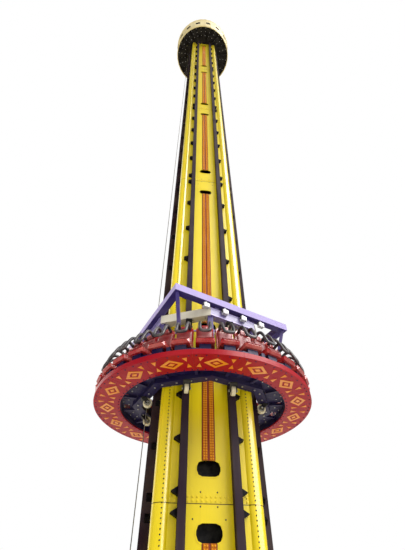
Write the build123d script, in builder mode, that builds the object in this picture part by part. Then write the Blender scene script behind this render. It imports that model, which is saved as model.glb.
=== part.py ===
from build123d import *

import os
from math import atan, cos, degrees, radians, sin, tan

# Drop tower ride as a half-scale model, in millimetres of the model itself.
# The origin is at the centre of the base plate's underside, +Z is up and the front face looks along -Y.

# Clearances
SEAT_GAP = 0.2  # between a curved or sloping face and the piece that seats on it
ROPE_CLEARANCE = 0.5
ROLLER_GAP = 0.3  # running gap between a guide roller and its rail
COLLAR_CLEARANCE = 11  # between the collars and whatever stands out furthest from the column

# Column
WALL_PLANE = 600  # outer face of the flat walls, from the axis
WALL_THICKNESS = 12
TUBE_SETBACK = 85  # centres of the corner tubes, inside the walls' outer faces
TUBE_RADIUS = 110
TUBE_WALL = 12
SHORT_SECTION = 1875
LONG_SECTION = 5000
LONG_SECTIONS = 4

# Joint panels with a hand hole, at both ends of every section
HOLE_WIDTH = 280
HOLE_HEIGHT = 170
HOLE_CORNER = 68
HOLE_CORNER_STEPS = 2  # straight steps that make up one rounded corner
PANEL_MARGIN = 60  # joint panel beyond its hand hole
SHORT_HOLE_RISE = 350  # hand hole above the joint below it
SHORT_HOLE_DROP = 260  # hand hole below the joint above it
LONG_HOLE_OFFSET = 500

# Guide rails and their lugs
RAIL_INSET = 208  # rail centre, inside the corner tube's centre
RAIL_WIDTH = 90
RAIL_DEPTH = 115
RAIL_STANDOFF = 22  # back of the rail from the wall
RAIL_WALL = 8
RAIL_BOTTOM = 150
RAIL_TOP_GAP = 150  # below the crown floor
LUG_REACH = 76
LUG_ROOT = 88
LUG_DEPTH = 90
SHORT_LUGS = 4
LONG_LUGS = 6
SHORT_LUG_END = 100
LONG_LUG_END = 150

# Lamp strips
STRIP_WIDTH = 164
STRIP_TRAY = 6
STRIP_BAR_HEIGHT = 8
STRIP_BAR_SPACING = 24

# Foot of the tower
BASE_THICKNESS = 40
BASE_MARGIN = 112  # outside the corner tubes
ANCHOR_INSET = 70
ANCHOR_HOLES = 8
ANCHOR_HOLE_RADIUS = 18
GUSSET_SIDE = 190
GUSSET_REACH = 200
GUSSET_HEIGHT = 170
GUSSET_THICKNESS = 20

# Hoist ropes at the left and right faces
ROPE_STANDOFF = 83  # in front of the rails
ROPE_RADIUS = 6
ROPE_ANCHOR_LENGTH = 100
ROPE_ANCHOR_WIDTH = 80
ROPE_ANCHOR_HEIGHT = 110
ROPE_ANCHOR_CHAMFER = 10

# Crown
CROWN_SIDES = 32
CROWN_RADIUS = 1410
CROWN_FLOOR = 30
CROWN_LIP = 90  # fascia below the floor
CROWN_HEIGHT = 1500
CROWN_FLARE = 60
FASCIA_THICKNESS = 14
FASCIA_FLANGE = 60
RIB_COUNT = 16
RIB_CLEARANCE = 27
RIB_ROOT_DEPTH = 130
RIB_TIP_DEPTH = 60
RIB_THICKNESS = 24
VENT_COUNT = 16
VENT_WIDTH = 220
VENT_HEIGHT = 80
ROOF_RISE = 120
ROOF_CHAMFER = 100

# Gondola, heights at rest
RING_BOTTOM = 3150
FASCIA_PANEL = 20
RING_BEAM_HEIGHT = 80
SPOKE_HEIGHT = 60
DECK_THICKNESS = 8
COLLAR_HEIGHT = 140
LOWER_COLLAR_RISE = 30  # above the ring's underside
UPPER_COLLAR_RISE = 1020
FRAME_RISE = 1195

# Gondola, plan
COLLAR_SIDES = 8
COLLAR_WIDTH = 128
COLLAR_POST = 80
COLLAR_POST_SETBACK = 7
SPOKE_COUNT = 8
SPOKE_WIDTH = 50
DECK_WIDTH = 260  # from the collar to the seat ring
DECK_REST = 10  # how far the deck lies on the inner ring beam
DECK_GAP = 2
HATCH_LENGTH = 150
HATCH_WIDTH = 90
HATCH_CHAMFER = 20
HATCH_SIDE = 170
RING_SIDES = 16
RING_BEAM_WIDTH = 60
RING_BEAM_INSET = 20  # outer ring beam, inside the ring's edge
PANEL_JOINT = 2
RIM_THICKNESS = 12
RIM_HEIGHT = 70

# Top frame, its posts, hangers and floodlights
FRAME_SETBACK = 75  # inside of the frame, outside the collar's inside
FRAME_BEAM = 120
FRAME_TURN = 22.5  # turned to the column's faces, in degrees
FRAME_POST = 70
FRAME_POST_INSET = 5
FRAME_POST_SIDE = 280
HANGER_SIZE = 46
HANGER_INSET = 185  # foot of a hanger, inside the handrail
LIGHT_COUNT = 4
LIGHT_PITCH = 330
LIGHT_LENGTH = 90
LIGHT_WIDTH = 60
LIGHT_HEIGHT = 70
LIGHT_STEM = 24
LIGHT_STEM_HEIGHT = 40

# Guide rollers, their brackets and the rope clamps
ROLLER_RADIUS = 65
ROLLER_SIDES = 16
ROLLER_WIDTH = 56
AXLE_RADIUS = 12
AXLE_SIDES = 6
ROLLER_DROP = 75  # axle below the collar's underside
BRACKET_WIDTH = 96
BRACKET_CLEARANCE = 3
BRACKET_LENGTH = 100
BRACKET_HEAD = 34
CLAMP_WIDTH = 70
CLAMP_THICKNESS = 30
CLAMP_MARGIN = 30  # inside the rope

# Handrail
HANDRAIL_POSTS = 24
HANDRAIL_INSET = 20  # outside the inner ring beam's inner corner
HANDRAIL_RADIUS = 12
HANDRAIL_SIDES = 8
HANDRAIL_HEIGHT = 480

# Seats
SEATS = 32
SEAT_SPACE = 70  # from the handrail to the seats
STAND_WIDTH = 140
STAND_HEIGHT = 70
PAN_LENGTH = 285
PAN_OVERHANG = 10
PAN_SPACING = 25  # between neighbouring seats, at their backs
PAN_THICKNESS = 60
PAN_NOSE = 28
BACK_SETBACK = 3
BACK_SHOULDER = 4  # the back is this much narrower than the pan, on each side
BACK_HEIGHT = 370
BACK_FOOT_DEPTH = 46
BACK_LEAN = 28
BACK_TOP_DEPTH = 34
BACK_CORNER = 62

# Shoulder restraints: each arm goes from the back over the shoulder to the lap
ARM_SIDE = 66
ARM_WIDTH = 34
ARM_ROOT = 34
ARM_DROP = 56  # top of an arm's root, below the back's top
ARM_BEND = 120  # places from the back's foot outwards
ARM_LAP = 206
BEND_DROP = 30  # places below the back's top
LAP_DROP = 260
LAP_BAR = 40

os.makedirs("parts", exist_ok=True)

# Sizes that follow from those above
tube_centre = WALL_PLANE - TUBE_SETBACK
corner_reach = tube_centre * 2**0.5 + TUBE_RADIUS
base_radius = round(corner_reach) + BASE_MARGIN
rail_side = tube_centre - RAIL_INSET
rail_front = WALL_PLANE + RAIL_STANDOFF + RAIL_DEPTH
rope_place = rail_front + ROPE_STANDOFF
half_side = radians(180 / COLLAR_SIDES)
tube_reach = tube_centre * 2**0.5 * cos(half_side) + TUBE_RADIUS
rail_reach = rail_front * cos(half_side) + (rail_side + RAIL_WIDTH / 2) * sin(half_side)
collar_inner = max(tube_reach, rail_reach) + COLLAR_CLEARANCE
collar_outer = collar_inner + COLLAR_WIDTH
ring_inner = collar_outer + DECK_WIDTH
handrail_place = ring_inner + HANDRAIL_INSET
pan_start = handrail_place + SEAT_SPACE
pan_end = pan_start + PAN_LENGTH
ring_radius = pan_end - PAN_OVERHANG
outer_beam = ring_radius - RING_BEAM_INSET - RING_BEAM_WIDTH
panel_turn = 180 / RING_SIDES
panel_flat = cos(radians(panel_turn))

beam_bottom = RING_BOTTOM + FASCIA_PANEL
beam_top = beam_bottom + RING_BEAM_HEIGHT
lower_collar_bottom = RING_BOTTOM + LOWER_COLLAR_RISE
lower_collar_top = lower_collar_bottom + COLLAR_HEIGHT
upper_collar_bottom = RING_BOTTOM + UPPER_COLLAR_RISE
upper_collar_top = upper_collar_bottom + COLLAR_HEIGHT
frame_bottom = RING_BOTTOM + FRAME_RISE


def save(piece, name):
    """Labels one finished piece and writes it under its own name."""
    piece.label = name
    export_step(piece, f"parts/{name}.step")


def face_plane(quarter, height=0.0):
    """Level plane whose local -Y looks out of one face of the column: 0 front, 1 right, 2 back, 3 left."""
    turn = radians(90 * quarter)
    return Plane(origin=(0, 0, height), x_dir=(cos(turn), sin(turn), 0), z_dir=(0, 0, 1))


def level_plane(angle, height):
    """Level plane with local X outwards at an angle round the tower."""
    turn = radians(angle)
    return Plane(origin=(0, 0, height), x_dir=(cos(turn), sin(turn), 0), z_dir=(0, 0, 1))


def upright_plane(angle, radius=0.0, side=0.0):
    """Plane with local X outwards and local Y up, at an angle round the tower."""
    turn = radians(angle)
    outwards = Vector(cos(turn), sin(turn), 0)
    across = Vector(-sin(turn), cos(turn), 0)
    return Plane(origin=outwards * radius + across * side, x_dir=outwards, z_dir=-across)


def spread(first, last, count):
    """Evenly spaced places from first to last."""
    return [first + (last - first) * step / (count - 1) for step in range(count)]


# Sections of the column: bottom, top, hand holes from both ends, lugs and their distance from the ends
sections = [
    (BASE_THICKNESS, SHORT_SECTION, SHORT_HOLE_RISE, SHORT_HOLE_DROP, SHORT_LUGS, SHORT_LUG_END),
    (SHORT_SECTION, 2 * SHORT_SECTION, SHORT_HOLE_RISE, SHORT_HOLE_DROP, SHORT_LUGS, SHORT_LUG_END),
]
for count in range(LONG_SECTIONS):
    start = 2 * SHORT_SECTION + count * LONG_SECTION
    holes = (LONG_HOLE_OFFSET, LONG_HOLE_OFFSET)
    sections.append((start, start + LONG_SECTION, *holes, LONG_LUGS, LONG_LUG_END))
column_top = sections[-1][1]
rail_top = column_top - RAIL_TOP_GAP

# Base plate with its circle of anchor holes
with BuildPart() as base_plate:
    with BuildSketch():
        RegularPolygon(base_radius, ANCHOR_HOLES, major_radius=False)
        with PolarLocations(base_radius - ANCHOR_INSET, ANCHOR_HOLES, start_angle=180 / ANCHOR_HOLES):
            Circle(ANCHOR_HOLE_RADIUS, mode=Mode.SUBTRACT)
    extrude(amount=BASE_THICKNESS)
save(base_plate.part, "base_plate")

# Gussets between the base plate and the walls, two on each face
with BuildPart() as base_gussets:
    for quarter in range(4):
        for side in (-GUSSET_SIDE, GUSSET_SIDE):
            with BuildSketch(upright_plane(90 * quarter, WALL_PLANE, side)):
                with Locations((0, BASE_THICKNESS)):
                    Polygon((0, 0), (GUSSET_REACH, 0), (0, GUSSET_HEIGHT), align=None)
            extrude(amount=GUSSET_THICKNESS / 2, both=True)
save(base_gussets.part, "base_gussets")

# Corner tubes of the column
with BuildPart() as corner_tubes:
    with BuildSketch(Plane.XY.offset(BASE_THICKNESS)):
        with GridLocations(2 * tube_centre, 2 * tube_centre, 2, 2):
            Circle(TUBE_RADIUS)
            Circle(TUBE_RADIUS - TUBE_WALL, mode=Mode.SUBTRACT)
    extrude(amount=column_top - BASE_THICKNESS)
save(corner_tubes.part, "corner_tubes")


def hole_outline():
    """Corners of a hand hole, with each rounded corner made of straight steps."""
    points = []
    for turn, x, y in ((0, 1, 1), (90, -1, 1), (180, -1, -1), (270, 1, -1)):
        for angle in spread(turn, turn + 90, HOLE_CORNER_STEPS + 1):
            across = x * (HOLE_WIDTH / 2 - HOLE_CORNER) + HOLE_CORNER * cos(radians(angle))
            up = y * (HOLE_HEIGHT / 2 - HOLE_CORNER) + HOLE_CORNER * sin(radians(angle))
            points.append((across, up))
    return points


def plate_outline():
    """Outline of one flat wall plate of the column, with sloping edges that run along the tubes."""
    middle = TUBE_SETBACK - WALL_THICKNESS / 2
    reach = ((TUBE_RADIUS + SEAT_GAP) ** 2 - middle**2) ** 0.5
    slope = WALL_THICKNESS / 2 * middle / reach
    outer_half = tube_centre - reach + slope
    inner_half = tube_centre - reach - slope
    Polygon(
        (-outer_half, -WALL_PLANE),
        (outer_half, -WALL_PLANE),
        (inner_half, WALL_THICKNESS - WALL_PLANE),
        (-inner_half, WALL_THICKNESS - WALL_PLANE),
        align=None,
    )


# Walls of the column: joint panels at both ends of every section, in two halves that meet at a hand hole,
# and plain plates between them
panel_rest = HOLE_HEIGHT / 2 + PANEL_MARGIN
with BuildPart() as joint_panels:
    for bottom, top, rise, drop, lugs, lug_end in sections:
        panels = [(bottom, rise + panel_rest), (top - drop - panel_rest, drop + panel_rest - SEAT_GAP)]
        for start, height in panels:
            for quarter in range(4):
                with BuildSketch(face_plane(quarter, start)):
                    plate_outline()
                extrude(amount=height)
    for plane in (Plane.XZ, Plane.YZ):
        with BuildSketch(plane):
            with Locations((0, column_top / 2)):
                Rectangle(SEAT_GAP, column_top)
            for bottom, top, rise, drop, lugs, lug_end in sections:
                with Locations((0, bottom + rise), (0, top - drop)):
                    Polygon(*hole_outline(), align=None)
        extrude(amount=WALL_PLANE + WALL_THICKNESS, both=True, mode=Mode.SUBTRACT)
save(joint_panels.part, "joint_panels")

with BuildPart() as wall_plates:
    for bottom, top, rise, drop, lugs, lug_end in sections:
        plate_bottom = bottom + rise + panel_rest + SEAT_GAP
        plate_top = top - drop - panel_rest - SEAT_GAP
        for quarter in range(4):
            with BuildSketch(face_plane(quarter, plate_bottom)):
                plate_outline()
            extrude(amount=plate_top - plate_bottom)
save(wall_plates.part, "wall_plates")

lug_heights = []
for bottom, top, rise, drop, lugs, lug_end in sections:
    lug_heights += spread(max(bottom, RAIL_BOTTOM) + lug_end, min(top, rail_top) - lug_end, lugs)


def rail_pair(name, quarter):
    """The two guide rails of one face: box tubes that stand off the wall on a row of side lugs."""
    face = face_plane(quarter)
    outwards = -face.y_dir
    with BuildPart() as rails:
        with BuildSketch(face_plane(quarter, RAIL_BOTTOM)):
            with Locations(*[(side, RAIL_DEPTH / 2 - rail_front) for side in (-rail_side, rail_side)]):
                Rectangle(RAIL_WIDTH, RAIL_DEPTH)
                Rectangle(RAIL_WIDTH - 2 * RAIL_WALL, RAIL_DEPTH - 2 * RAIL_WALL, mode=Mode.SUBTRACT)
        extrude(amount=rail_top - RAIL_BOTTOM)
        with BuildSketch(Plane(origin=outwards * WALL_PLANE, x_dir=face.x_dir, z_dir=outwards)):
            with Locations(*[(rail_side + RAIL_WIDTH / 2, height) for height in lug_heights]):
                Polygon((0, -LUG_ROOT / 2), (LUG_REACH, 0), (0, LUG_ROOT / 2), align=None)
            mirror(about=Plane.YZ)
        extrude(amount=LUG_DEPTH)
    save(rails.part, name)


def lamp_strips(name, quarter):
    """The lamp strips of one face: in each section a tray with two lamp bars between the hand holes."""
    bar_width = STRIP_WIDTH / 2 - STRIP_BAR_SPACING
    bar_depth = STRIP_TRAY + STRIP_BAR_HEIGHT
    with BuildPart() as strips:
        for bottom, top, rise, drop, lugs, lug_end in sections:
            strip_bottom = bottom + rise + HOLE_HEIGHT / 2
            strip_top = top - drop - HOLE_HEIGHT / 2
            with BuildSketch(face_plane(quarter, strip_bottom)):
                with Locations((0, -WALL_PLANE - STRIP_TRAY / 2)):
                    Rectangle(STRIP_WIDTH, STRIP_TRAY)
                with Locations(*[(side * STRIP_WIDTH / 4, -WALL_PLANE - bar_depth / 2) for side in (-1, 1)]):
                    Rectangle(bar_width, bar_depth)
            extrude(amount=strip_top - strip_bottom)
    save(strips.part, name)


for quarter, side in enumerate(("front", "right", "back", "left")):
    rail_pair(f"{side}_rails", quarter)
    lamp_strips(f"{side}_lamp_strips", quarter)

# Hoist ropes, taut from their anchors on the base plate to the crown floor
rope_bottom = BASE_THICKNESS + ROPE_ANCHOR_HEIGHT
rope_places = [(-rope_place, 0), (rope_place, 0)]
with BuildPart() as rope_anchors:
    with BuildSketch(Plane.XY.offset(BASE_THICKNESS)):
        with Locations(*rope_places):
            Rectangle(ROPE_ANCHOR_LENGTH, ROPE_ANCHOR_WIDTH)
    extrude(amount=ROPE_ANCHOR_HEIGHT)
    chamfer(rope_anchors.faces().group_by(Axis.Z)[-1].edges(), length=ROPE_ANCHOR_CHAMFER)
save(rope_anchors.part, "rope_anchors")

with BuildPart() as hoist_ropes:
    with BuildSketch(Plane.XY.offset(rope_bottom)):
        with Locations(*rope_places):
            Circle(ROPE_RADIUS)
    extrude(amount=column_top - rope_bottom)
save(hoist_ropes.part, "hoist_ropes")

# Crown: floor on the column's top, ribs under it, flared fascia round it and a low roof
with BuildPart() as crown_floor:
    with BuildSketch(Plane.XY.offset(column_top)):
        RegularPolygon(CROWN_RADIUS, CROWN_SIDES)
    extrude(amount=CROWN_FLOOR)
save(crown_floor.part, "crown_floor")

fascia_inside = CROWN_RADIUS + SEAT_GAP
fascia_outside = fascia_inside + FASCIA_THICKNESS
rib_root = corner_reach + RIB_CLEARANCE
rib_tip = CROWN_RADIUS * cos(radians(180 / CROWN_SIDES)) - FASCIA_THICKNESS
with BuildPart() as crown_ribs:
    for count in range(RIB_COUNT):
        with BuildSketch(upright_plane((count + 0.5) * 360 / RIB_COUNT)):
            Polygon(
                (rib_root, column_top),
                (rib_root, column_top - RIB_ROOT_DEPTH),
                (rib_tip, column_top - RIB_TIP_DEPTH),
                (rib_tip, column_top),
                align=None,
            )
        extrude(amount=RIB_THICKNESS / 2, both=True)
save(crown_ribs.part, "crown_ribs")

crown_top = column_top + CROWN_HEIGHT
flare_start = column_top + CROWN_FLOOR
flare = degrees(atan(CROWN_FLARE / (crown_top - flare_start)))
with BuildPart() as crown_fascia:
    with BuildSketch(Plane.XY.offset(flare_start)):
        RegularPolygon(fascia_outside, CROWN_SIDES)
    extrude(amount=crown_top - flare_start, taper=-flare)
    with BuildSketch(Plane.XY.offset(flare_start)):
        RegularPolygon(fascia_inside, CROWN_SIDES)
    extrude(amount=crown_top - flare_start - FASCIA_THICKNESS, taper=-flare, mode=Mode.SUBTRACT)
    with BuildSketch(Plane.XY.offset(crown_top)):
        RegularPolygon(fascia_inside + CROWN_FLARE - FASCIA_FLANGE, CROWN_SIDES)
    extrude(amount=-2 * FASCIA_THICKNESS, mode=Mode.SUBTRACT)
    with BuildSketch(Plane.XY.offset(flare_start)):
        RegularPolygon(fascia_outside, CROWN_SIDES)
        RegularPolygon(fascia_inside, CROWN_SIDES, mode=Mode.SUBTRACT)
    extrude(amount=-CROWN_FLOOR - CROWN_LIP)
    vent_place = fascia_inside + CROWN_FLARE / 2
    for count in range(VENT_COUNT):
        vent_turn = 180 / CROWN_SIDES + count * 360 / VENT_COUNT
        with BuildSketch(upright_plane(vent_turn)):
            with Locations((vent_place, (flare_start + crown_top) / 2)):
                Rectangle(2 * VENT_HEIGHT, VENT_HEIGHT)
        extrude(amount=VENT_WIDTH / 2, both=True, mode=Mode.SUBTRACT)
save(crown_fascia.part, "crown_fascia")

with BuildPart() as crown_roof:
    with BuildSketch(Plane.XY.offset(crown_top)):
        RegularPolygon(fascia_inside + CROWN_FLARE, CROWN_SIDES)
    extrude(amount=ROOF_RISE)
    chamfer(crown_roof.faces().sort_by(Axis.Z)[-1].edges(), length=ROOF_CHAMFER)
save(crown_roof.part, "crown_roof")


def ring_band(outer, inner):
    """Band of the seat ring between two corner radii, with a corner at half a panel's angle from +X."""
    RegularPolygon(outer, RING_SIDES, rotation=panel_turn)
    RegularPolygon(inner, RING_SIDES, rotation=panel_turn, mode=Mode.SUBTRACT)


def panel_joints():
    """Narrow gaps between neighbouring panels, at the ring's corners."""
    with PolarLocations(ring_radius, RING_SIDES, start_angle=panel_turn):
        Rectangle(ring_radius, PANEL_JOINT, mode=Mode.SUBTRACT)


# Seat ring: sixteen straight panels with a rim, under two welded ring beams
with BuildPart() as fascia_panels:
    with BuildSketch(Plane.XY.offset(RING_BOTTOM)):
        ring_band(ring_radius, ring_inner)
        panel_joints()
    extrude(amount=FASCIA_PANEL)
save(fascia_panels.part, "fascia_panels")

with BuildPart() as rim_trim:
    with BuildSketch(Plane.XY.offset(RING_BOTTOM)):
        ring_band(ring_radius + SEAT_GAP + RIM_THICKNESS, ring_radius + SEAT_GAP)
        panel_joints()
    extrude(amount=RIM_HEIGHT)
save(rim_trim.part, "rim_trim")


def ring_beam(name, inner):
    """One welded ring beam of the seat ring."""
    with BuildPart() as beam:
        with BuildSketch(Plane.XY.offset(beam_bottom)):
            ring_band(inner + RING_BEAM_WIDTH, inner)
        extrude(amount=RING_BEAM_HEIGHT)
    save(beam.part, name)


ring_beam("inner_ring_beam", ring_inner)
ring_beam("outer_ring_beam", outer_beam)


def octagon(flat, mode=Mode.ADD):
    """Octagon of the collars, with its corners on the middle of the column's faces."""
    RegularPolygon(flat, COLLAR_SIDES, major_radius=False, mode=mode)


def collar(name, bottom):
    """Octagonal collar round the column, with a flat in front of every rail."""
    with BuildPart() as ring:
        with BuildSketch(Plane.XY.offset(bottom)):
            octagon(collar_outer)
            octagon(collar_inner, mode=Mode.SUBTRACT)
        extrude(amount=COLLAR_HEIGHT)
    save(ring.part, name)


collar("lower_collar", lower_collar_bottom)
collar("upper_collar", upper_collar_bottom)

post_place = (collar_inner + COLLAR_WIDTH / 2) / cos(half_side) - COLLAR_POST_SETBACK
with BuildPart() as collar_posts:
    with BuildSketch(Plane.XY.offset(lower_collar_top)):
        with PolarLocations(post_place, COLLAR_SIDES):
            Rectangle(COLLAR_POST, COLLAR_POST)
    extrude(amount=upper_collar_bottom - lower_collar_top)
save(collar_posts.part, "collar_posts")

# Spokes from the lower collar's flats over both ring beams
spoke_turn = 180 / SPOKE_COUNT
spoke_end = (outer_beam + RING_BEAM_WIDTH) * panel_flat
spoke_middle = (spoke_end + collar_outer) / 2
with BuildPart() as ring_spokes:
    with BuildSketch(Plane.XY.offset(beam_top)):
        with PolarLocations(spoke_middle, SPOKE_COUNT, start_angle=spoke_turn):
            Rectangle(spoke_end - collar_outer, SPOKE_WIDTH)
    extrude(amount=SPOKE_HEIGHT)
save(ring_spokes.part, "ring_spokes")

# Deck between the lower collar and the inner ring beam, with hatches at the left and right
hatch_place = (collar_outer / cos(half_side) + ring_inner) / 2
with BuildPart() as deck_panels:
    with BuildSketch(Plane.XY.offset(beam_top)):
        RegularPolygon(ring_inner + DECK_REST, RING_SIDES, rotation=panel_turn)
        octagon(collar_outer + DECK_GAP, mode=Mode.SUBTRACT)
        with PolarLocations(spoke_middle, SPOKE_COUNT, start_angle=spoke_turn):
            Rectangle(spoke_end - collar_outer, SPOKE_WIDTH + 2 * DECK_GAP, mode=Mode.SUBTRACT)
    extrude(amount=DECK_THICKNESS)
    with BuildSketch(Plane.XY.offset(beam_top)) as hatches:
        with GridLocations(2 * hatch_place, 2 * HATCH_SIDE, 2, 2):
            Rectangle(HATCH_WIDTH, HATCH_LENGTH)
        chamfer(hatches.vertices(), length=HATCH_CHAMFER)
    extrude(amount=DECK_THICKNESS, mode=Mode.SUBTRACT)
save(deck_panels.part, "deck_panels")

# Square top frame, its posts on the upper collar and the hangers from its corners to the spokes
frame_inner = collar_inner + FRAME_SETBACK
frame_middle = frame_inner + FRAME_BEAM / 2
with BuildPart() as top_frame:
    with BuildSketch(level_plane(FRAME_TURN, frame_bottom)):
        Rectangle(2 * frame_inner + 2 * FRAME_BEAM, 2 * frame_inner + 2 * FRAME_BEAM)
        Rectangle(2 * frame_inner, 2 * frame_inner, mode=Mode.SUBTRACT)
    extrude(amount=FRAME_BEAM)
save(top_frame.part, "top_frame")

frame_post_place = collar_outer - FRAME_POST_INSET - FRAME_POST / 2
with BuildPart() as frame_posts:
    for quarter in range(4):
        with BuildSketch(level_plane(FRAME_TURN + 90 * quarter, upper_collar_top)):
            with Locations((frame_post_place, -FRAME_POST_SIDE), (frame_post_place, FRAME_POST_SIDE)):
                Rectangle(FRAME_POST, FRAME_POST)
        extrude(amount=frame_bottom - upper_collar_top)
save(frame_posts.part, "frame_posts")

hanger_head = frame_middle * 2**0.5
hanger_foot = handrail_place - HANGER_INSET
with BuildPart() as corner_hangers:
    for quarter in range(4):
        with BuildSketch(upright_plane(FRAME_TURN + 45 + 90 * quarter)):
            Polygon(
                (hanger_foot - HANGER_SIZE / 2, beam_top + SPOKE_HEIGHT),
                (hanger_foot + HANGER_SIZE / 2, beam_top + SPOKE_HEIGHT),
                (hanger_head + HANGER_SIZE / 2, frame_bottom),
                (hanger_head - HANGER_SIZE / 2, frame_bottom),
                align=None,
            )
        extrude(amount=HANGER_SIZE / 2, both=True)
save(corner_hangers.part, "corner_hangers")

# Floodlights under the front right beam of the frame and the one opposite
light_sides = [(step - (LIGHT_COUNT - 1) / 2) * LIGHT_PITCH for step in range(LIGHT_COUNT)]
light_place = frame_inner + FRAME_BEAM - LIGHT_WIDTH / 2
light_places = [(light_place, side) for side in light_sides]
with BuildPart() as floodlights:
    for half in range(2):
        beam_plane = level_plane(FRAME_TURN - 90 + 180 * half, frame_bottom)
        with BuildSketch(beam_plane):
            with Locations(*light_places):
                Rectangle(LIGHT_STEM, LIGHT_STEM)
        extrude(amount=-LIGHT_STEM_HEIGHT)
        with BuildSketch(beam_plane.offset(-LIGHT_STEM_HEIGHT)):
            with Locations(*light_places):
                Rectangle(LIGHT_WIDTH, LIGHT_LENGTH)
        extrude(amount=-LIGHT_HEIGHT)
save(floodlights.part, "floodlights")


def roller_places():
    """Middle and face of each roller: on every rail, below both collars."""
    axle_place = rail_front + ROLLER_GAP + ROLLER_RADIUS
    for quarter in range(4):
        face = face_plane(quarter)
        for level in (lower_collar_bottom, upper_collar_bottom):
            for side in (-rail_side, rail_side):
                yield face.from_local_coords((side, -axle_place, level - ROLLER_DROP)), face


# Guide rollers on the rails' running faces, and the brackets that carry their axles
with BuildPart() as guide_rollers:
    for centre, face in roller_places():
        axle_plane = Plane(origin=centre, x_dir=face.y_dir, z_dir=face.x_dir)
        with BuildSketch(axle_plane):
            RegularPolygon(ROLLER_RADIUS, ROLLER_SIDES)
        extrude(amount=ROLLER_WIDTH / 2, both=True)
        with BuildSketch(axle_plane):
            RegularPolygon(AXLE_RADIUS, AXLE_SIDES)
        extrude(amount=BRACKET_WIDTH / 2, both=True)
save(guide_rollers.part, "guide_rollers")

half_head = BRACKET_HEAD / 2
with BuildPart() as roller_brackets:
    for centre, face in roller_places():
        side_plane = Plane(origin=centre, x_dir=-face.y_dir, z_dir=-face.x_dir)
        with BuildSketch(side_plane):
            Polygon(
                (-half_head, -half_head),
                (half_head, -half_head),
                (BRACKET_LENGTH, ROLLER_DROP - half_head),
                (BRACKET_LENGTH, ROLLER_DROP),
                (BRACKET_HEAD, ROLLER_DROP),
                (-half_head, half_head),
                align=None,
            )
            RegularPolygon(AXLE_RADIUS + SEAT_GAP, AXLE_SIDES, mode=Mode.SUBTRACT)
        extrude(amount=BRACKET_WIDTH / 2, both=True)
        slot_end = ROLLER_RADIUS + BRACKET_CLEARANCE
        with BuildSketch(side_plane):
            Rectangle(2 * slot_end, 2 * slot_end)
        extrude(amount=ROLLER_WIDTH / 2 + BRACKET_CLEARANCE, both=True, mode=Mode.SUBTRACT)
save(roller_brackets.part, "roller_brackets")

# Clamps that hold the hoist ropes on the upper collar
clamp_start = rope_place - CLAMP_MARGIN
clamp_end = collar_outer / cos(half_side) - CLAMP_MARGIN
with BuildPart() as rope_clamps:
    with BuildSketch(Plane.XY.offset(upper_collar_top)):
        with Locations(*[(way * (clamp_start + clamp_end) / 2, 0) for way in (-1, 1)]):
            Rectangle(clamp_end - clamp_start, CLAMP_WIDTH)
        with Locations(*rope_places):
            Circle(ROPE_RADIUS + ROPE_CLEARANCE, mode=Mode.SUBTRACT)
    extrude(amount=CLAMP_THICKNESS)
save(rope_clamps.part, "rope_clamps")

# Handrail behind the seats: posts on the inner ring beam and a straight rail from post to post
with BuildPart() as handrail_posts:
    with BuildSketch(Plane.XY.offset(beam_top)):
        with PolarLocations(handrail_place, HANDRAIL_POSTS):
            RegularPolygon(HANDRAIL_RADIUS, HANDRAIL_SIDES)
    extrude(amount=HANDRAIL_HEIGHT - HANDRAIL_RADIUS - SEAT_GAP)
save(handrail_posts.part, "handrail_posts")

rail_corners = []
for angle in spread(0, 360 - 360 / HANDRAIL_POSTS, HANDRAIL_POSTS):
    turn = radians(angle)
    rail_corners.append((handrail_place * cos(turn), handrail_place * sin(turn), beam_top + HANDRAIL_HEIGHT))
with BuildPart() as handrail_top:
    with BuildLine():
        route = Polyline(*rail_corners, close=True)
    with BuildSketch(Plane(origin=route @ 0, z_dir=route % 0)):
        RegularPolygon(HANDRAIL_RADIUS, HANDRAIL_SIDES)
    sweep(transition=Transition.RIGHT)
save(handrail_top.part, "handrail_top")


def round_the_ring(piece, name):
    """Repeats one seat's piece at every seat."""
    with BuildPart() as all_round:
        with PolarLocations(0, SEATS, start_angle=180 / SEATS):
            add(piece)
    save(all_round.part, name)


# Seats round the ring, facing out: stand, pan, back and closed shoulder restraint
pan_bottom = beam_top + STAND_HEIGHT
pan_top = pan_bottom + PAN_THICKNESS
pan_width = 2 * pan_start * tan(radians(180 / SEATS)) - PAN_SPACING
stand_start = outer_beam * panel_flat
stand_end = (outer_beam + RING_BEAM_WIDTH) * panel_flat

with BuildPart() as seat_stand:
    with BuildSketch(Plane.XY.offset(beam_top)):
        with Locations(((stand_start + stand_end) / 2, 0)):
            Rectangle(stand_end - stand_start, STAND_WIDTH)
    extrude(amount=STAND_HEIGHT)
round_the_ring(seat_stand.part, "seat_stands")

with BuildPart() as seat_pan:
    with BuildSketch(Plane.XY.offset(pan_bottom)):
        with Locations(((pan_start + pan_end) / 2, 0)):
            Rectangle(PAN_LENGTH, pan_width)
    extrude(amount=PAN_THICKNESS)
    chamfer(seat_pan.faces().sort_by(Axis.X)[-1].edges(), length=PAN_NOSE)
round_the_ring(seat_pan.part, "seat_pans")

back_foot = pan_start + BACK_SETBACK
back_front = back_foot + BACK_FOOT_DEPTH
back_top = pan_top + BACK_HEIGHT
with BuildPart() as seat_back:
    with BuildSketch(Plane.XZ):
        Polygon(
            (back_foot, pan_top),
            (back_front, pan_top),
            (back_foot - BACK_LEAN + BACK_TOP_DEPTH, back_top),
            (back_foot - BACK_LEAN, back_top),
            align=None,
        )
    extrude(amount=pan_width / 2 - BACK_SHOULDER, both=True)
    chamfer(seat_back.faces().sort_by(Axis.Z)[-1].edges().filter_by(Axis.X), length=BACK_CORNER)
round_the_ring(seat_back.part, "seat_backs")

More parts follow.
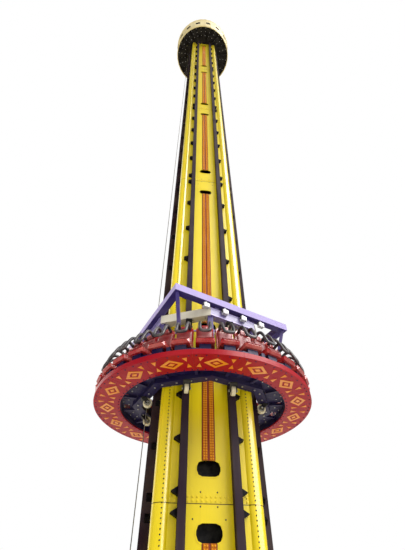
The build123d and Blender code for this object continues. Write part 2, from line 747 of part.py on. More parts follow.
back_slope = (BACK_FOOT_DEPTH + BACK_LEAN - BACK_TOP_DEPTH) / BACK_HEIGHT
root_top = BACK_HEIGHT - ARM_DROP
root_bottom = root_top - ARM_ROOT
with BuildPart() as restraint:
    for side in (-ARM_SIDE, ARM_SIDE):
        with BuildSketch(Plane.XZ.offset(side)):
            Polygon(
                (back_front - back_slope * root_bottom + SEAT_GAP, pan_top + root_bottom),
                (back_front - back_slope * root_top + SEAT_GAP, pan_top + root_top),
                (back_front + ARM_BEND, back_top - BEND_DROP),
                (back_front + ARM_LAP, back_top - LAP_DROP),
                (back_front + ARM_LAP - ARM_ROOT, back_top - LAP_DROP),
                (back_front + ARM_BEND - ARM_ROOT, back_top - BEND_DROP - ARM_ROOT),
                align=None,
            )
        extrude(amount=ARM_WIDTH / 2, both=True)
    with BuildSketch(Plane.XY.offset(back_top - LAP_DROP)):
        with Locations((back_front + ARM_LAP - ARM_ROOT / 2, 0)):
            Rectangle(ARM_ROOT / 2, 2 * ARM_SIDE)
    extrude(amount=LAP_BAR)
round_the_ring(restraint.part, "shoulder_restraints")
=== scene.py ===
"""Looks of the half-scale drop tower ride: paint, lamps, fittings, pads and stage around its solids."""

from math import cos, pi, radians, sin, tan

import bmesh
import bpy
from mathutils import Matrix, Vector


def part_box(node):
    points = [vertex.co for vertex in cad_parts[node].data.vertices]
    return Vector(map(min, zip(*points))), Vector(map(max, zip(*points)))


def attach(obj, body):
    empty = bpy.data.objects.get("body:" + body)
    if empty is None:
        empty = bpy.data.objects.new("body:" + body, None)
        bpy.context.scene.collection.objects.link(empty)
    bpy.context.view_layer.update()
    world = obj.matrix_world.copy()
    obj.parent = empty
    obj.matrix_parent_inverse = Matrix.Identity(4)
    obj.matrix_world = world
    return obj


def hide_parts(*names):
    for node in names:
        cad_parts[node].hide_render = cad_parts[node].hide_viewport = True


bl_info = {
    "name": "Drop tower ride",
    "version": (1, 0, 0),
    "blender": (4, 5, 0),
    "location": "3D View > Sidebar > Drop tower",
    "description": "Paint, lamps, fittings, pads and stage of a half-scale drop tower ride",
    "category": "Object",
}

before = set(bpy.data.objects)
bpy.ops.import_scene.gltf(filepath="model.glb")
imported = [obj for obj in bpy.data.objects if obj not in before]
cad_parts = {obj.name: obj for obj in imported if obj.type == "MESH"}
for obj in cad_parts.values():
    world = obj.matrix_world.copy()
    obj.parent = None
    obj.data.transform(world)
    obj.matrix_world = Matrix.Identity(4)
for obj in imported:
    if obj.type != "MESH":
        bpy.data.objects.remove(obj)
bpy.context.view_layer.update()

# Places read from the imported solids, in metres
wall_face = -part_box("wall_plates")[0].y
rail_face = -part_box("front_rails")[0].y
lamp_face = -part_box("front_lamp_strips")[0].y
tube_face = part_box("corner_tubes")[1].x
base_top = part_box("base_plate")[1].z
column_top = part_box("crown_floor")[0].z
deck_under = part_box("deck_panels")[0].z
lower_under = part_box("lower_collar")[0].z
seat_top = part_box("seat_pans")[1].z
back_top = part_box("seat_backs")[1].z
frame_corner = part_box("top_frame")[1].x
crown_low, crown_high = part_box("crown_fascia")
rope_low, rope_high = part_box("hoist_ropes")
ring_low, ring_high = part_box("fascia_panels")
rim_low, rim_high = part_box("rim_trim")
upper_low, upper_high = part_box("upper_collar")
light_low, light_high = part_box("floodlights")
roller_low, roller_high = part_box("guide_rollers")
post_low, post_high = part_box("handrail_posts")

# Sizes and counts that the solids' boxes don't give: lengths in metres, turns in degrees
SHORT_SECTION = 1.875
LONG_SECTION = 5.0
LONG_START = 2 * SHORT_SECTION
HOLE_WIDTH = 0.28
HOLE_HEIGHT = 0.17
HOLE_CORNER = 0.068
TUBE_CENTRE = 0.515
RAIL_SIDE = 0.307
RAIL_HALF = 0.045
ROPE_RADIUS = 0.006
ANCHOR_CIRCLE = 0.88
FRAME_TURN = 22.5
RING_PANELS = 16
RING_JOINT = 0.002
RING_INSIDE = 1.205
RING_OUTSIDE = 1.5638
RIM_INSIDE = 1.564
RIM_OUTSIDE = 1.576
CROWN_SIDES = 32
CROWN_FLARE = 0.06
CROWN_FLOOR = 0.03
ROLLER_RADIUS = 0.065
HANDRAIL_RADIUS = 0.012
LIGHT_PITCH = 0.33
SEATS = 32
PAN_START = 1.3046
BACK_FRONT = PAN_START + 0.049

# Sections of the column: bottom, top, and how far the hand holes are from the bottom and from the top
SECTIONS = [(base_top, SHORT_SECTION, 0.35, 0.26), (SHORT_SECTION, LONG_START, 0.35, 0.26)]
LONG_BOTTOMS = [LONG_START + LONG_SECTION * count for count in range(4)]
SECTIONS += [(bottom, bottom + LONG_SECTION, 0.5, 0.5) for bottom in LONG_BOTTOMS]
JOINTS = [section[1] for section in SECTIONS[:-1]]

# Settings of a mix node for colours: its share is input 0 and its colours are inputs 6 and 7
COLOURS = {"out": 2, "data_type": "RGBA"}


def linear(code):
    """Linear colour from an sRGB hex code."""
    parts = [int(code[place : place + 2], 16) / 255 for place in (0, 2, 4)]
    return [part / 12.92 if part <= 0.04045 else ((part + 0.055) / 1.055) ** 2.4 for part in parts] + [1.0]


def paint(name, description, code):
    """Colour property with its default as an sRGB hex code."""
    return bpy.props.FloatVectorProperty(
        name=name, description=description, size=4, subtype="COLOR", min=0, max=1, default=linear(code)
    )


def length(name, description, default):
    """Length property in metres."""
    return bpy.props.FloatProperty(
        name=name, description=description, unit="LENGTH", min=0.001, default=default
    )


def heading(name, description, degrees):
    """Angle property with its default in degrees."""
    return bpy.props.FloatProperty(
        name=name, description=description, subtype="ANGLE", default=radians(degrees)
    )


class TowerColours(bpy.types.PropertyGroup):
    """Colours of the ride."""

    column: paint("Column", "Gloss enamel of the tubes and walls", "FAE000")
    rail: paint("Guide rails", "Satin enamel of the guide rails", "220A1E")
    lamp_tray: paint("Lamp trays", "Enamel of the lamp strips' trays", "861C08")
    lamp_bar: paint("Lamp bars", "Enamel of the raised lamp bars", "CC7A04")
    lamp_cap: paint("Lamp caps", "Polycarbonate of the lamp caps", "E89A10")
    crown: paint("Crown", "Satin enamel of the crown's fascia and roof", "E6D294")
    soffit: paint("Crown underside", "Matt paint under the crown", "0D0908")
    ring: paint("Seat ring", "Gloss enamel of the ring's panels", "A6081E")
    ornament: paint("Ornament", "Enamel of the ring's ornament", "F0931F")
    deck: paint("Deck", "Satin enamel of the deck and its beams", "1A1246")
    # On the frame, the purple is painted shade inside and below, and the lilac is painted light on the outer
    # faces
    purple: paint("Frame", "Satin enamel of the frame's inside and underside, and of the posts", "34257A")
    lilac: paint("Handrail", "Satin enamel of the handrail and the frame's outer faces", "9C8CCB")
    seat: paint("Seats", "Gel coat of the seat shells", "B3161F")
    pad: paint("Pads", "Vinyl of the seat pads", "8E1119")
    restraint: paint("Restraints", "Foam skin of the shoulder restraints", "24212A")


class TowerSizes(bpy.types.PropertyGroup):
    """Sizes of the fittings."""

    lamp_pitch: length("Lamp pitch", "Distance from lamp cap to lamp cap along a bar", 0.031)
    lamp_radius: length("Lamp radius", "Radius of a lamp cap", 0.0115)
    rivet_pitch: length("Rivet pitch", "Distance from rivet to rivet along a tube", 0.046)
    rivet_radius: length("Rivet radius", "Radius of a rivet head", 0.0085)
    bolt_pitch: length("Joint bolt pitch", "Distance from bolt to bolt along a joint", 0.0525)
    bolt_radius: length("Joint bolt radius", "Radius of a joint bolt's head, over its corners", 0.012)
    camera_distance: length("Camera distance", "From the tower's axis, along the ground", 5.036)
    camera_height: length("Camera height", "Above the ground", 0.955)
    camera_turn: heading("Camera turn", "Round the axis, to the left of the front face's middle", 6.89)
    camera_tilt: heading("Camera tilt", "Above the horizon", 45.23)


# Nodes and finishes


def add(tree, kind, inputs=None, out=0, **settings):
    """Adds one node with its settings and links, and gives the output asked for."""
    node = tree.nodes.new(kind)
    for name, value in settings.items():
        setattr(node, name, value)
    for key, value in (inputs or {}).items():
        if isinstance(value, bpy.types.NodeSocket):
            tree.links.new(value, node.inputs[key])
        else:
            node.inputs[key].default_value = value
    return node.outputs[out] if len(node.outputs) else node


def new_finish(name):
    """Empty material, its node tree and the place on the piece."""
    material = bpy.data.materials.new(name)
    material.use_nodes = True
    tree = material.node_tree
    tree.nodes.clear()
    return material, tree, add(tree, "ShaderNodeTexCoord", out="Object")


def close_finish(tree, colour, roughness, others):
    """Ends a material in one shader with this colour, this roughness and its other inputs."""
    inputs = {"Base Color": colour, "Roughness": roughness, **others}
    shader = add(tree, "ShaderNodeBsdfPrincipled", inputs)
    add(tree, "ShaderNodeOutputMaterial", {"Surface": shader})


def shade(colour, other, share):
    """A colour part of the way to another."""
    return [own + (far - own) * share for own, far in zip(colour, other)]


def weathered(tree, place, colour, patch=900, streak=70, dirt=0.3, fade=0.14):
    """Colour of outdoor paint and its streaks; patches and streaks are given in millimetres across."""
    patches = add(tree, "ShaderNodeTexNoise", {"Vector": place, "Scale": 1000 / patch, "Detail": 3})
    sun = add(tree, "ShaderNodeMapRange", {"Value": patches, "From Min": 0.38, "From Max": 0.66})
    deep, pale = shade(colour, linear("241808"), 0.06), shade(colour, linear("FFF6D8"), fade)
    faded = add(tree, "ShaderNodeMix", {0: sun, 6: deep, 7: pale}, **COLOURS)
    tall = add(tree, "ShaderNodeMapping", {"Vector": place, "Scale": (1, 1, 0.05)})
    grain = {"Vector": tall, "Scale": 1000 / streak, "Detail": 4, "Roughness": 0.6}
    streaks = add(tree, "ShaderNodeTexNoise", grain)
    limits = {"Value": streaks, "From Min": 0.52, "From Max": 0.78, "To Max": dirt}
    run = add(tree, "ShaderNodeMapRange", limits)
    soiled = shade(colour, linear("3A2C18"), 0.65)
    stained = add(tree, "ShaderNodeMix", {0: run, 6: faded, 7: soiled}, **COLOURS)
    return stained, streaks


def orange_peel(tree, place, grain, strength):
    """Bump of sprayed paint; the real peel is about 3 mm, and grain is as coarse as it needs to show."""
    peel = add(tree, "ShaderNodeTexNoise", {"Vector": place, "Scale": 1000 / grain, "Detail": 2})
    return add(tree, "ShaderNodeBump", {"Height": peel, "Strength": strength, "Distance": 0.002})


def distance(tree, value, middle):
    """How far a value is from a middle, on either side of it."""
    gap = add(tree, "ShaderNodeMath", {0: value, 1: middle}, operation="SUBTRACT")
    return add(tree, "ShaderNodeMath", {0: gap}, operation="ABSOLUTE")


def axis_distances(tree, place):
    """Larger and smaller distance of a point from the column's two middle planes, and its height."""
    split = tree.nodes.new("ShaderNodeSeparateXYZ")
    tree.links.new(place, split.inputs[0])
    x = add(tree, "ShaderNodeMath", {0: split.outputs["X"]}, operation="ABSOLUTE")
    y = add(tree, "ShaderNodeMath", {0: split.outputs["Y"]}, operation="ABSOLUTE")
    far = add(tree, "ShaderNodeMath", {0: x, 1: y}, operation="MAXIMUM")
    near = add(tree, "ShaderNodeMath", {0: x, 1: y}, operation="MINIMUM")
    return far, near, split.outputs["Z"]


def column_enamel(colours):
    """Gloss alkyd enamel on steel plate: strong yellow, a wet highlight along the tubes, rain streaks."""
    material, tree, place = new_finish("column_gloss_enamel")
    colour, streaks = weathered(tree, place, colours.column, patch=1100, streak=80, dirt=0.2, fade=0.03)
    far, _, height = axis_distances(tree, place)
    # Joint lines about 9 mm wide, on top of the first short section and under every long one
    short_joint = distance(tree, height, SHORT_SECTION)
    shift = 1.5 * LONG_SECTION - LONG_START
    long_joint = add(tree, "ShaderNodeMath", {0: height, 1: shift}, operation="ADD")
    long_joint = add(tree, "ShaderNodeMath", {0: long_joint, 1: LONG_SECTION}, operation="FLOORED_MODULO")
    long_joint = distance(tree, long_joint, LONG_SECTION / 2)
    joint = add(tree, "ShaderNodeMath", {0: long_joint, 1: short_joint}, operation="MINIMUM")
    limits = {"Value": joint, "From Min": 0.0035, "From Max": 0.006, "To Min": 0.9, "To Max": 0}
    line = add(tree, "ShaderNodeMapRange", limits)
    joined = add(tree, "ShaderNodeMix", {0: line, 6: colour, 7: linear("3B2A08")}, **COLOURS)
    # Painted shade: the column's inside faces are near black where they are seen through the hand holes
    inside = add(tree, "ShaderNodeMath", {0: far, 1: wall_face - 0.007}, operation="LESS_THAN")
    painted = add(tree, "ShaderNodeMix", {0: inside, 6: joined, 7: linear("0B0908")}, **COLOURS)
    gloss = add(tree, "ShaderNodeMapRange", {"Value": streaks, "To Min": 0.22, "To Max": 0.42})
    peel = orange_peel(tree, place, 18, 0.08)
    lacquer = {"Specular IOR Level": 0.1, "Coat Weight": 1.0, "Coat Roughness": 0.24, "Normal": peel}
    close_finish(tree, painted, gloss, lacquer)
    return material


def rail_enamel(colours):
    """Satin enamel on steel tube: near black, polished where the rollers run, with black iron lugs."""
    material, tree, place = new_finish("rail_satin_enamel")
    colour, _ = weathered(tree, place, colours.rail, patch=700, streak=40, dirt=0.12, fade=0.03)
    far, near, _ = axis_distances(tree, place)
    on_face = add(tree, "ShaderNodeMath", {0: far, 1: rail_face - 0.0005}, operation="GREATER_THAN")
    beside = distance(tree, near, RAIL_SIDE)
    # The rollers are 56 mm wide, and the polish fades over their edges
    limits = {"Value": beside, "From Min": 0.02, "From Max": 0.03, "To Min": 0.5, "To Max": 0}
    track = add(tree, "ShaderNodeMapRange", limits)
    polish = add(tree, "ShaderNodeMath", {0: on_face, 1: track}, operation="MULTIPLY")
    run = add(tree, "ShaderNodeMix", {0: polish, 6: colour, 7: linear("2E1E2C")}, **COLOURS)
    side = RAIL_SIDE + RAIL_HALF + 0.0005
    lug = add(tree, "ShaderNodeMath", {0: near, 1: side}, operation="GREATER_THAN")
    painted = add(tree, "ShaderNodeMix", {0: lug, 6: run, 7: linear("0E0B0F")}, **COLOURS)
    limits = {"Value": polish, "From Max": 0.5, "To Min": 0.62, "To Max": 0.45}
    gloss = add(tree, "ShaderNodeMapRange", limits)
    peel = orange_peel(tree, place, 14, 0.08)
    close_finish(tree, painted, gloss, {"Specular IOR Level": 0.1, "Normal": peel})
    return material


def strip_enamel(colours):
    """Stove enamel on folded steel: red trays with orange lamp bars, slightly sooty between the lamps."""
    material, tree, place = new_finish("strip_stove_enamel")
    tray, streaks = weathered(tree, place, colours.lamp_tray, patch=500, streak=30, dirt=0.3, fade=0.08)
    far, _, _ = axis_distances(tree, place)
    raised = add(tree, "ShaderNodeMath", {0: far, 1: lamp_face - 0.003}, operation="GREATER_THAN")
    soot = add(tree, "ShaderNodeMapRange", {"Value": streaks, "From Min": 0.35, "From Max": 0.7})
    sooty = shade(colours.lamp_bar, colours.lamp_tray, 0.45)
    bar = add(tree, "ShaderNodeMix", {0: soot, 6: colours.lamp_bar, 7: sooty}, **COLOURS)
    painted = add(tree, "ShaderNodeMix", {0: raised, 6: tray, 7: bar}, **COLOURS)
    peel = orange_peel(tree, place, 10, 0.06)
    close_finish(tree, painted, 0.4, {"Specular IOR Level": 0.12, "Normal": peel})
    return material


def sprayed(
    name, colour, roughness, coat=0.0, gleam=0.3, patch=600, streak=50, dirt=0.28, fade=0.1, grain=14
):
    """Sprayed enamel on steel or plastic, with the weather of its own place on the ride."""
    material, tree, place = new_finish(name)
    stained, streaks = weathered(tree, place, colour, patch, streak, dirt, fade)
    limits = {"Value": streaks, "To Min": roughness - 0.08, "To Max": roughness + 0.12}
    gloss = add(tree, "ShaderNodeMapRange", limits)
    peel = orange_peel(tree, place, grain, 0.07)
    lacquer = {"Specular IOR Level": gleam, "Coat Weight": coat, "Coat Roughness": 0.15, "Normal": peel}
    close_finish(tree, stained, gloss, lacquer)
    return material


def frame_enamel(colours):
    """Satin enamel in a lit and a shaded copy: pale lilac on the frame's outer faces as painted light, deep
    purple inside and below as painted shade.
    """
    material, tree, place = new_finish("frame_satin_enamel")
    dark, streaks = weathered(tree, place, colours.purple, patch=500, streak=50, dirt=0.3, fade=0.08)
    turned = add(tree, "ShaderNodeMapping", {"Vector": place, "Rotation": (0, 0, radians(-FRAME_TURN))})
    far, _, _ = axis_distances(tree, turned)
    # Painted light and shade: the outer faces take the pale lilac as the lit copy, the inside and underside
    # the deep purple as the shaded copy
    lit_faces = add(tree, "ShaderNodeMath", {0: far, 1: frame_side() - 0.001}, operation="GREATER_THAN")
    chalky = shade(colours.lilac, linear("FFFFFF"), 0.12)
    pale = add(tree, "ShaderNodeMix", {0: streaks, 6: chalky, 7: colours.lilac}, **COLOURS)
    painted = add(tree, "ShaderNodeMix", {0: lit_faces, 6: dark, 7: pale}, **COLOURS)
    peel = orange_peel(tree, place, 14, 0.07)
    close_finish(tree, painted, 0.42, {"Specular IOR Level": 0.1, "Normal": peel})
    return material


def collar_enamel(colours):
    """Satin enamel in panels: every other side of the upper collar cream, the rest purple edged in lilac."""
    material, tree, place = new_finish("collar_panel_enamel")
    dark, streaks = weathered(tree, place, shade(colours.purple, colours.lilac, 0.3), 500, 50, 0.3, 0.08)
    split = tree.nodes.new("ShaderNodeSeparateXYZ")
    tree.links.new(place, split.inputs[0])
    x, y, z = split.outputs
    angle = add(tree, "ShaderNodeMath", {0: y, 1: x}, operation="ARCTAN2")
    side = add(tree, "ShaderNodeMath", {0: angle, 1: pi / 2}, operation="FLOORED_MODULO")
    cream = add(tree, "ShaderNodeMath", {0: side, 1: pi / 4}, operation="GREATER_THAN")
    middle = (upper_low.z + upper_high.z) / 2
    rise = distance(tree, z, middle)
    # The lilac edge is 18 mm wide
    start = (upper_high.z - upper_low.z) / 2 - 0.018
    edge = add(tree, "ShaderNodeMath", {0: rise, 1: start}, operation="GREATER_THAN")
    edged = add(tree, "ShaderNodeMix", {0: edge, 6: dark, 7: colours.lilac}, **COLOURS)
    stained = add(tree, "ShaderNodeMix", {0: streaks, 6: linear("F7F3E2"), 7: linear("DAD3BC")}, **COLOURS)
    painted = add(tree, "ShaderNodeMix", {0: cream, 6: edged, 7: stained}, **COLOURS)
    peel = orange_peel(tree, place, 14, 0.07)
    close_finish(tree, painted, 0.4, {"Normal": peel})
    return material


def rope_wire(colours):
    """Greased galvanised steel rope: six strands wound round the core, with a painted highlight on the strand
    crowns and painted shade in the grooves.
    """
    material, tree, place = new_finish("rope_galvanised_wire")
    split = tree.nodes.new("ShaderNodeSeparateXYZ")
    tree.links.new(place, split.inputs[0])
    across = add(tree, "ShaderNodeMath", {0: split.outputs["X"]}, operation="ABSOLUTE")
    across = add(tree, "ShaderNodeMath", {0: across, 1: rope_high.x - ROPE_RADIUS}, operation="SUBTRACT")
    angle = add(tree, "ShaderNodeMath", {0: split.outputs["Y"], 1: across}, operation="ARCTAN2")
    # Six strands with a lay of 78 mm
    strands = add(tree, "ShaderNodeMath", {0: angle, 1: 6.0}, operation="MULTIPLY")
    lay = add(tree, "ShaderNodeMath", {0: split.outputs["Z"], 1: 2 * pi * 6 / 0.078}, operation="MULTIPLY")
    wave = add(tree, "ShaderNodeMath", {0: strands, 1: lay}, operation="ADD")
    wave = add(tree, "ShaderNodeMath", {0: wave}, operation="SINE")
    crown = add(tree, "ShaderNodeMapRange", {"Value": wave, "From Min": -1.0})
    # Painted highlight and shade: pale grey on the strand crowns, dark grey in the grooves, along the same
    # wave as the bump
    steel = add(tree, "ShaderNodeMix", {0: crown, 6: linear("4E4E50"), 7: linear("B9BABC")}, **COLOURS)
    bump = add(tree, "ShaderNodeBump", {"Height": crown, "Strength": 0.6, "Distance": 0.002})
    close_finish(tree, steel, 0.45, {"Metallic": 0.6, "Normal": bump})
    return material


def deck_enamel(colours):
    """Anti-slip enamel on steel: dark indigo with a grit of about 3 mm, drawn at 9 mm so that it shows."""
    material, tree, place = new_finish("deck_grit_enamel")
    stained, _ = weathered(tree, place, colours.deck, patch=400, streak=60, dirt=0.2, fade=0.03)
    grit = add(tree, "ShaderNodeTexVoronoi", {"Vector": place, "Scale": 1000 / 9})
    bump = add(tree, "ShaderNodeBump", {"Height": grit, "Strength": 0.25, "Distance": 0.002})
    close_finish(tree, stained, 0.5, {"Specular IOR Level": 0.2, "Normal": bump})
    return material


def pad_vinyl(name, colour, roughness, grain):
    """Upholstery vinyl: a leather-like grain in millimetres, paler and glossier where it is rubbed."""
    material, tree, place = new_finish(name)
    cells = add(tree, "ShaderNodeTexVoronoi", {"Vector": place, "Scale": 1000 / grain})
    rubs = add(tree, "ShaderNodeTexNoise", {"Vector": place, "Scale": 1000 / 120, "Detail": 3})
    rubbed = add(tree, "ShaderNodeMapRange", {"Value": rubs, "From Min": 0.4, "From Max": 0.7})
    pale = shade(colour, linear("D8C8C0"), 0.16)
    worn = add(tree, "ShaderNodeMix", {0: rubbed, 6: colour, 7: pale}, **COLOURS)
    limits = {"Value": rubbed, "To Min": roughness, "To Max": roughness - 0.14}
    gloss = add(tree, "ShaderNodeMapRange", limits)
    bump = add(tree, "ShaderNodeBump", {"Height": cells, "Strength": 0.3, "Distance": 0.001})
    close_finish(tree, worn, gloss, {"Normal": bump})
    return material


def zinc_steel(colours):
    """Zinc-plated steel of bolts and clamps: dull grey with a patchy chromate tint."""
    material, tree, place = new_finish("fastener_zinc_steel")
    spangle = add(tree, "ShaderNodeTexVoronoi", {"Vector": place, "Scale": 1000 / 14})
    tint = add(tree, "ShaderNodeMix", {0: spangle, 6: linear("8F9092"), 7: linear("C9C6BC")}, **COLOURS)
    gloss = add(tree, "ShaderNodeMapRange", {"Value": spangle, "To Min": 0.3, "To Max": 0.5})
    close_finish(tree, tint, gloss, {"Metallic": 0.85})
    return material


def lamp_polycarbonate(colours):
    """Moulded orange polycarbonate: its orange brighter and deeper in a noise about 25 mm across."""
    material, tree, place = new_finish("lamp_orange_polycarbonate")
    ribs = add(tree, "ShaderNodeTexNoise", {"Vector": place, "Scale": 1000 / 25, "Detail": 2})
    bright = shade(colours.lamp_cap, linear("FFC040"), 0.2)
    amber = add(tree, "ShaderNodeMix", {0: ribs, 6: bright, 7: colours.lamp_cap}, **COLOURS)
    close_finish(tree, amber, 0.35, {"IOR": 1.58, "Specular IOR Level": 0.1})
    return material


def lens_glass(colours):
    """Prismatic toughened glass of the floodlights: pale and grey bands along the ribs, a painted reflection
    of the bright reflector behind it.
    """
    material, tree, place = new_finish("floodlight_ribbed_glass")
    # Ribs 38 mm apart, coarser than the real 6 mm so that they show: a wave turns 20 radians in a unit
    wave = {"Vector": place, "Scale": 1000 / 6 / 20, "Distortion": 0.4}
    ribs = add(tree, "ShaderNodeTexWave", wave, bands_direction="Z")
    # Painted reflection: the pale and grey bands stand in for the lit reflector seen through the glass
    painted_reflection = add(tree, "ShaderNodeMix", {0: ribs, 6: linear("E8ECEF"), 7: linear("AEB6BD")}, **COLOURS)
    bump = add(tree, "ShaderNodeBump", {"Height": ribs, "Strength": 0.3, "Distance": 0.001})
    gleam = {"IOR": 1.52, "Coat Weight": 0.6, "Coat Roughness": 0.05, "Normal": bump}
    close_finish(tree, painted_reflection, 0.12, gleam)
    return material


FINISHES = {
    "column": column_enamel,
    "rail": rail_enamel,
    "strip": strip_enamel,
    "rope": rope_wire,
    "frame": frame_enamel,
    "collar": collar_enamel,
    "deck": deck_enamel,
    "zinc": zinc_steel,
    "lamp": lamp_polycarbonate,
    "lens": lens_glass,
    # Matt bitumen paint, sooty and uneven under the crown
    "soffit": lambda c: sprayed(
        "soffit_matt_bitumen", c.soffit, 0.7, gleam=0.1, patch=160, streak=120, dirt=0.3, fade=0.02
    ),
    # Satin enamel on rolled sheet, pale cream with rain streaks below the louvres
    "crown": lambda c: sprayed(
        "crown_satin_enamel", c.crown, 0.42, patch=900, streak=90, dirt=0.22, fade=0.3
    ),
    # Gloss enamel on sheet steel, deep red with a clear lacquer
    "ring": lambda c: sprayed(
        "ring_gloss_enamel", c.ring, 0.36, coat=0.1, gleam=0.1, patch=500, streak=60, dirt=0.1, fade=0.01
    ),
    # Gloss enamel, warm orange, brushed over the raised ornament
    "ornament": lambda c: sprayed(
        "ornament_gloss_enamel", c.ornament, 0.36, patch=200, streak=30, dirt=0.22
    ),
    # Satin enamel of the beams and rims, the same indigo as the deck without its grit
    "beam": lambda c: sprayed("beam_satin_enamel", c.deck, 0.42, gleam=0.15, patch=500, dirt=0.2, fade=0.03),
    # Satin enamel of posts and struts, mid purple
    "purple": lambda c: sprayed(
        "post_satin_enamel", shade(c.purple, c.lilac, 0.12), 0.42, patch=400, streak=40
    ),
    # Satin enamel on drawn tube, pale lilac, polished by hands
    "lilac": lambda c: sprayed("handrail_satin_enamel", c.lilac, 0.36, patch=300, streak=30, dirt=0.2),
    # Gel coat on glass fibre: glossy red shells, slightly wavy
    "shell": lambda c: sprayed(
        "seat_gel_coat", c.seat, 0.26, coat=0.5, patch=180, streak=40, dirt=0.16, grain=40
    ),
    # Polyester powder coat, white, with a fine even texture
    "lamp_box": lambda c: sprayed(
        "floodlight_powder_coat", linear("EDEDF0"), 0.45, patch=90, streak=20, dirt=0.2
    ),
    # Black iron: brush-painted, worn to grey on high spots
    "iron": lambda c: sprayed(
        "bracket_black_iron", linear("121015"), 0.5, gleam=0.2, patch=80, streak=20, dirt=0.2, fade=0.04
    ),
    # Cast polyurethane tyre: cream, matt, dusted grey by the rails
    "tyre": lambda c: sprayed("roller_polyurethane", linear("E6DCB8"), 0.55, patch=60, streak=12, dirt=0.3),
    # Upholstery vinyl of the seat pads
    "pad": lambda c: pad_vinyl("seat_pad_vinyl", c.pad, 0.5, 5),
    # Integral-skin foam of the shoulder restraints
    "restraint": lambda c: pad_vinyl("restraint_skin_foam", c.restraint, 0.55, 4),
}
made = {}


def finish(name):
    """The finish of this name, made once."""
    if name not in made:
        made[name] = FINISHES[name](bpy.context.scene.tower_colours)
    return made[name]


def frame_side():
    """Half the side of the square top frame, from its turned corner's place."""
    return frame_corner / (cos(radians(FRAME_TURN)) + sin(radians(FRAME_TURN)))


# Geometry node trees


def new_tree(name, inputs):
    """Empty geometry node tree with named inputs; gives the tree and its input sockets by name."""
    tree = bpy.data.node_groups.new(name, "GeometryNodeTree")
    tree.interface.new_socket(name="Geometry", in_out="INPUT", socket_type="NodeSocketGeometry")
    for label, kind in inputs:
        tree.interface.new_socket(name=label, in_out="INPUT", socket_type=kind)
    tree.interface.new_socket(name="Geometry", in_out="OUTPUT", socket_type="NodeSocketGeometry")
    group = tree.nodes.new("NodeGroupInput")
    return tree, {socket.name: socket for socket in group.outputs if socket.name}


def end_tree(tree, instances, material):
    """Ends a tree in plain geometry with one material."""
    plain = add(tree, "GeometryNodeRealizeInstances", {"Geometry": instances})
    coated = add(tree, "GeometryNodeSetMaterial", {"Geometry": plain, "Material": material})
    add(tree, "NodeGroupOutput", {"Geometry": coated})


def heads_tree(name, along):
    """Sets a head on every point, or at a pitch along every edge, with its top towards 'facing'."""
    inputs = [("Pitch", "NodeSocketFloat"), ("Head", "NodeSocketObject"), ("Material", "NodeSocketMaterial")]
    tree, given = new_tree(name, inputs)
    points = given["Geometry"]
    if along:
        line = add(tree, "GeometryNodeMeshToCurve", {"Mesh": points})
        spaced = {"Curve": line, "Length": given["Pitch"]}
        points = add(tree, "GeometryNodeCurveToPoints", spaced, mode="LENGTH")
    facing = add(tree, "GeometryNodeInputNamedAttribute", {"Name": "facing"}, data_type="FLOAT_VECTOR")
    turn = add(tree, "FunctionNodeAlignRotationToVector", {"Vector": facing}, axis="Z")
    chosen = {"Object": given["Head"], "As Instance": True}
    head = add(tree, "GeometryNodeObjectInfo", chosen, out="Geometry")
    places = {"Points": points, "Instance": head, "Rotation": turn}
    end_tree(tree, add(tree, "GeometryNodeInstanceOnPoints", places), given["Material"])
    return tree


def ring_tree():
    """Repeats a piece round the tower's axis."""
    inputs = [("Count", "NodeSocketInt"), ("Start", "NodeSocketFloat"), ("Material", "NodeSocketMaterial")]
    tree, given = new_tree("round_the_axis", inputs)
    points = add(tree, "GeometryNodePoints", {"Count": given["Count"]})
    index = add(tree, "GeometryNodeInputIndex")
    step = add(tree, "ShaderNodeMath", {0: 2 * pi, 1: given["Count"]}, operation="DIVIDE")
    angle = add(tree, "ShaderNodeMath", {0: index, 1: step, 2: given["Start"]}, operation="MULTIPLY_ADD")
    euler = add(tree, "ShaderNodeCombineXYZ", {"Z": angle})
    turn = add(tree, "FunctionNodeEulerToRotation", {"Euler": euler})
    piece = add(tree, "GeometryNodeGeometryToInstance", {0: given["Geometry"]})
    places = {"Points": points, "Instance": piece, "Rotation": turn}
    end_tree(tree, add(tree, "GeometryNodeInstanceOnPoints", places), given["Material"])
    return tree


TREES = {
    "along": lambda: heads_tree("heads_along_lines", True),
    "at": lambda: heads_tree("heads_at_points", False),
    "round": ring_tree,
}


def shown(name, data):
    """Adds an object to the scene."""
    item = bpy.data.objects.new(name, data)
    bpy.context.scene.collection.objects.link(item)
    return item


def plain_mesh(item):
    """Plain mesh of what an object shows; its modifiers and the object itself are then removed."""
    bpy.context.view_layer.update()
    graph = bpy.context.evaluated_depsgraph_get()
    mesh = bpy.data.meshes.new_from_object(item.evaluated_get(graph))
    item.modifiers.clear()
    bpy.data.objects.remove(item)
    return mesh


def grow(kind, mesh, **inputs):
    """Runs a tree on a mesh once and gives the plain mesh that it makes."""
    if kind not in made:
        made[kind] = TREES[kind]()
    carrier = shown("carrier", mesh)
    modifier = carrier.modifiers.new(kind, "NODES")
    modifier.node_group = made[kind]
    for item in made[kind].interface.items_tree:
        if item.in_out == "INPUT" and item.name in inputs:
            modifier[item.identifier] = inputs[item.name]
    return plain_mesh(carrier)


# Meshes


def mesh_from(form, name, smooth=False):
    """Plain mesh from a bmesh form, closed and facing outwards."""
    bmesh.ops.remove_doubles(form, verts=form.verts, dist=1e-6)
    bmesh.ops.recalc_face_normals(form, faces=form.faces)
    for face in form.faces:
        face.smooth = smooth
    mesh = bpy.data.meshes.new(name)
    form.to_mesh(mesh)
    form.free()
    return mesh


